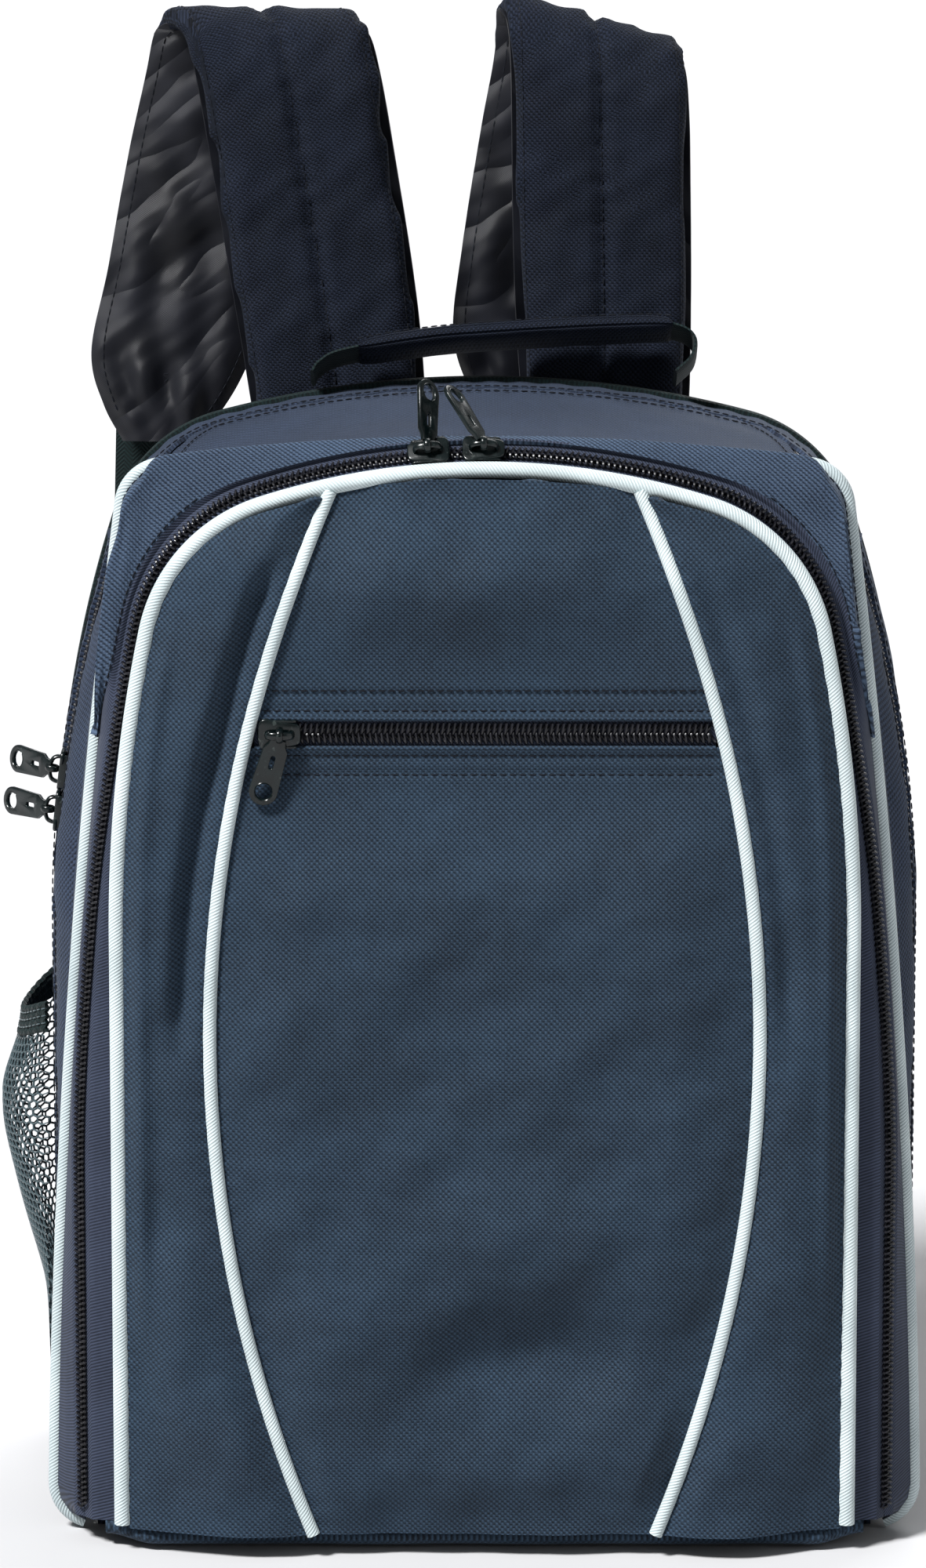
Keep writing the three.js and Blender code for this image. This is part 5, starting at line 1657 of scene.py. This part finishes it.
def zip_set(zip_name, side, place, travel, facing, swing, twist, lean):
    """A slider and its puller, which swings on the bar, leans and is twisted by some degrees."""
    slider_node = zip_name + "_slider" + side
    puller_node = zip_name + "_puller" + side
    columns = np.stack([travel, np.cross(facing, travel), facing, np.array(place) * MM], axis=1)
    placement = Matrix(columns.tolist() + [[0, 0, 0, 1]])
    slider = assembled(slider_node + "_metal", slider_parts(), placement, ENAMEL)
    finish_piece(slider, slider_node, "zip_metal", slider_node)
    hinge = Matrix.Translation((0, 0, BAR_HEIGHT * MM)) @ turned(swing, "X")
    puller = assembled(puller_node + "_metal", puller_parts(twist, lean), placement @ hinge, ENAMEL)
    finish_piece(puller, puller_node, "zip_metal", puller_node)


def arc_place(outline, step, heading, offset, y):
    """A place on an arc of an outline's left half, by its heading in degrees."""
    before = sum(turn for _, turn in outline[1][:step])
    s = -(step + (heading - before) / outline[1][step][1])
    place = outline_place(outline, s)
    normal = np.array([float(place["nx"]), 0, float(place["nz"])])
    spot = np.array([float(place["x"]), y, float(place["z"])]) + normal * offset
    return spot, normal, np.array([-normal[2], 0, normal[0]])


# Each puller: its side, its heading on its arc, which way it runs, and its swing, twist and lean.
U_SETS = (("_left", 4.4, -1, -82, 50, 4), ("_right", 0.1, 1, 82, 50, 28))
MAIN_SETS = (("_upper", 82.4, -1, -52, 0, -4), ("_lower", 84.3, 1, 50, 0, 4))
POCKET_PULLER = (-97, 0, 16)
POCKET_SLIDER_X = -68.0


def zip_pulls():
    for side, heading, direction, *turns in U_SETS:
        spot, normal, travel = arc_place(ARCH_OUTLINE, 0, heading, 4.5, CHAIN_Y)
        facing = np.array([0, -SLANT, 0]) + normal * SLANT
        zip_set("u_zip", side, spot, travel * direction, facing, *turns)
    sink = -shortfall(SIDE_ZIP_Y) - COIL_SINK
    for side, heading, direction, *turns in MAIN_SETS:
        spot, normal, travel = arc_place(DOME_OUTLINE, 2, heading, sink, SIDE_ZIP_Y)
        zip_set("main_zip", side, spot, travel * direction, normal, *turns)
    spot = (POCKET_SLIDER_X, FRONT_FACE_Y + 0.4, POCKET_ZIP_Z)
    zip_set("pocket_zip", "", spot, np.array([-1.0, 0, 0]), np.array([0, -1.0, 0]), *POCKET_PULLER)


# ---- The scene ----
CAMERA_DISTANCE = 2.4
CAMERA_ELEVATION = math.radians(11)
CAMERA_TARGET = Vector((-0.0073, 0, 0.251))
CAMERA_LENS = 160.3
SKY_WHITE = (0.95, 0.98, 1.0)
# Each sun: its side, its strength, how wide it looks in degrees, and its colour.
SUNS = {
    "key": ((-1.7, -1.5, 3.0), 6.2, 12, (1, 1, 1)),
    "fill": ((2.2, -1.6, 0.9), 0.35, 50, SKY_WHITE),
    "rear": ((0.6, 2.0, 1.9), 1.5, 40, (1, 1, 1)),
}


def plain_material(name, colour, roughness):
    material, tree, shader = new_material(name, roughness, Specular_IOR_Level=0.2)
    tone = noise(tree, object_places(tree), 6.0, 3.0)
    low = tuple(channel * 0.97 for channel in colour[:3]) + (1.0,)
    tree.links.new(blend_colours(tree, tone, low, colour), shader.inputs["Base Color"])
    return material


def sun(name, from_place, strength, softness, colour):
    """A soft light from far away, on the side of from_place."""
    light = bpy.data.lights.new(name, "SUN")
    light.energy = strength
    light.angle = math.radians(softness)
    light.color = colour
    lamp = link_object(name, light)
    lamp.location = from_place
    lamp.rotation_euler = (-Vector(from_place)).to_track_quat("-Z", "Y").to_euler()


def studio():
    scene = bpy.context.scene
    bpy.ops.mesh.primitive_plane_add(size=40, location=(0, 12, 0))
    floor = bpy.context.object
    floor.name = "studio_floor"
    floor.data.materials.append(plain_material("pale_floor", (0.5, 0.5, 0.51, 1), 0.9))
    world = bpy.data.worlds.new("soft_white")
    world.use_nodes = True
    background = world.node_tree.nodes["Background"]
    background.inputs["Color"].default_value = (*SKY_WHITE, 1)
    background.inputs["Strength"].default_value = 0.22
    scene.world = world
    for name, values in SUNS.items():
        sun(name, *values)
    scene.view_settings.view_transform = "Standard"


def photo_camera():
    camera = bpy.data.cameras.new("photo_camera")
    camera.lens = CAMERA_LENS
    camera.sensor_width = 36
    camera.clip_end = 60
    holder = link_object("photo_camera", camera)
    direction = Vector((0, -math.cos(CAMERA_ELEVATION), math.sin(CAMERA_ELEVATION)))
    holder.location = CAMERA_TARGET + direction * CAMERA_DISTANCE
    holder.rotation_euler = (math.radians(90) - CAMERA_ELEVATION, 0, 0)
    bpy.context.scene.camera = holder


def kept_nodes():
    """CAD nodes that still show get a finish of their own."""
    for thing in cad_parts.values():
        if not thing.hide_render:
            thing.data.materials.clear()
            thing.data.materials.append(PLASTIC)


main_compartment()
front_section()
front_flap()
back_and_base()
net_pocket()
pocket_hem()
carry_handle()
straps()
zip_pulls()
kept_nodes()
studio()
photo_camera()
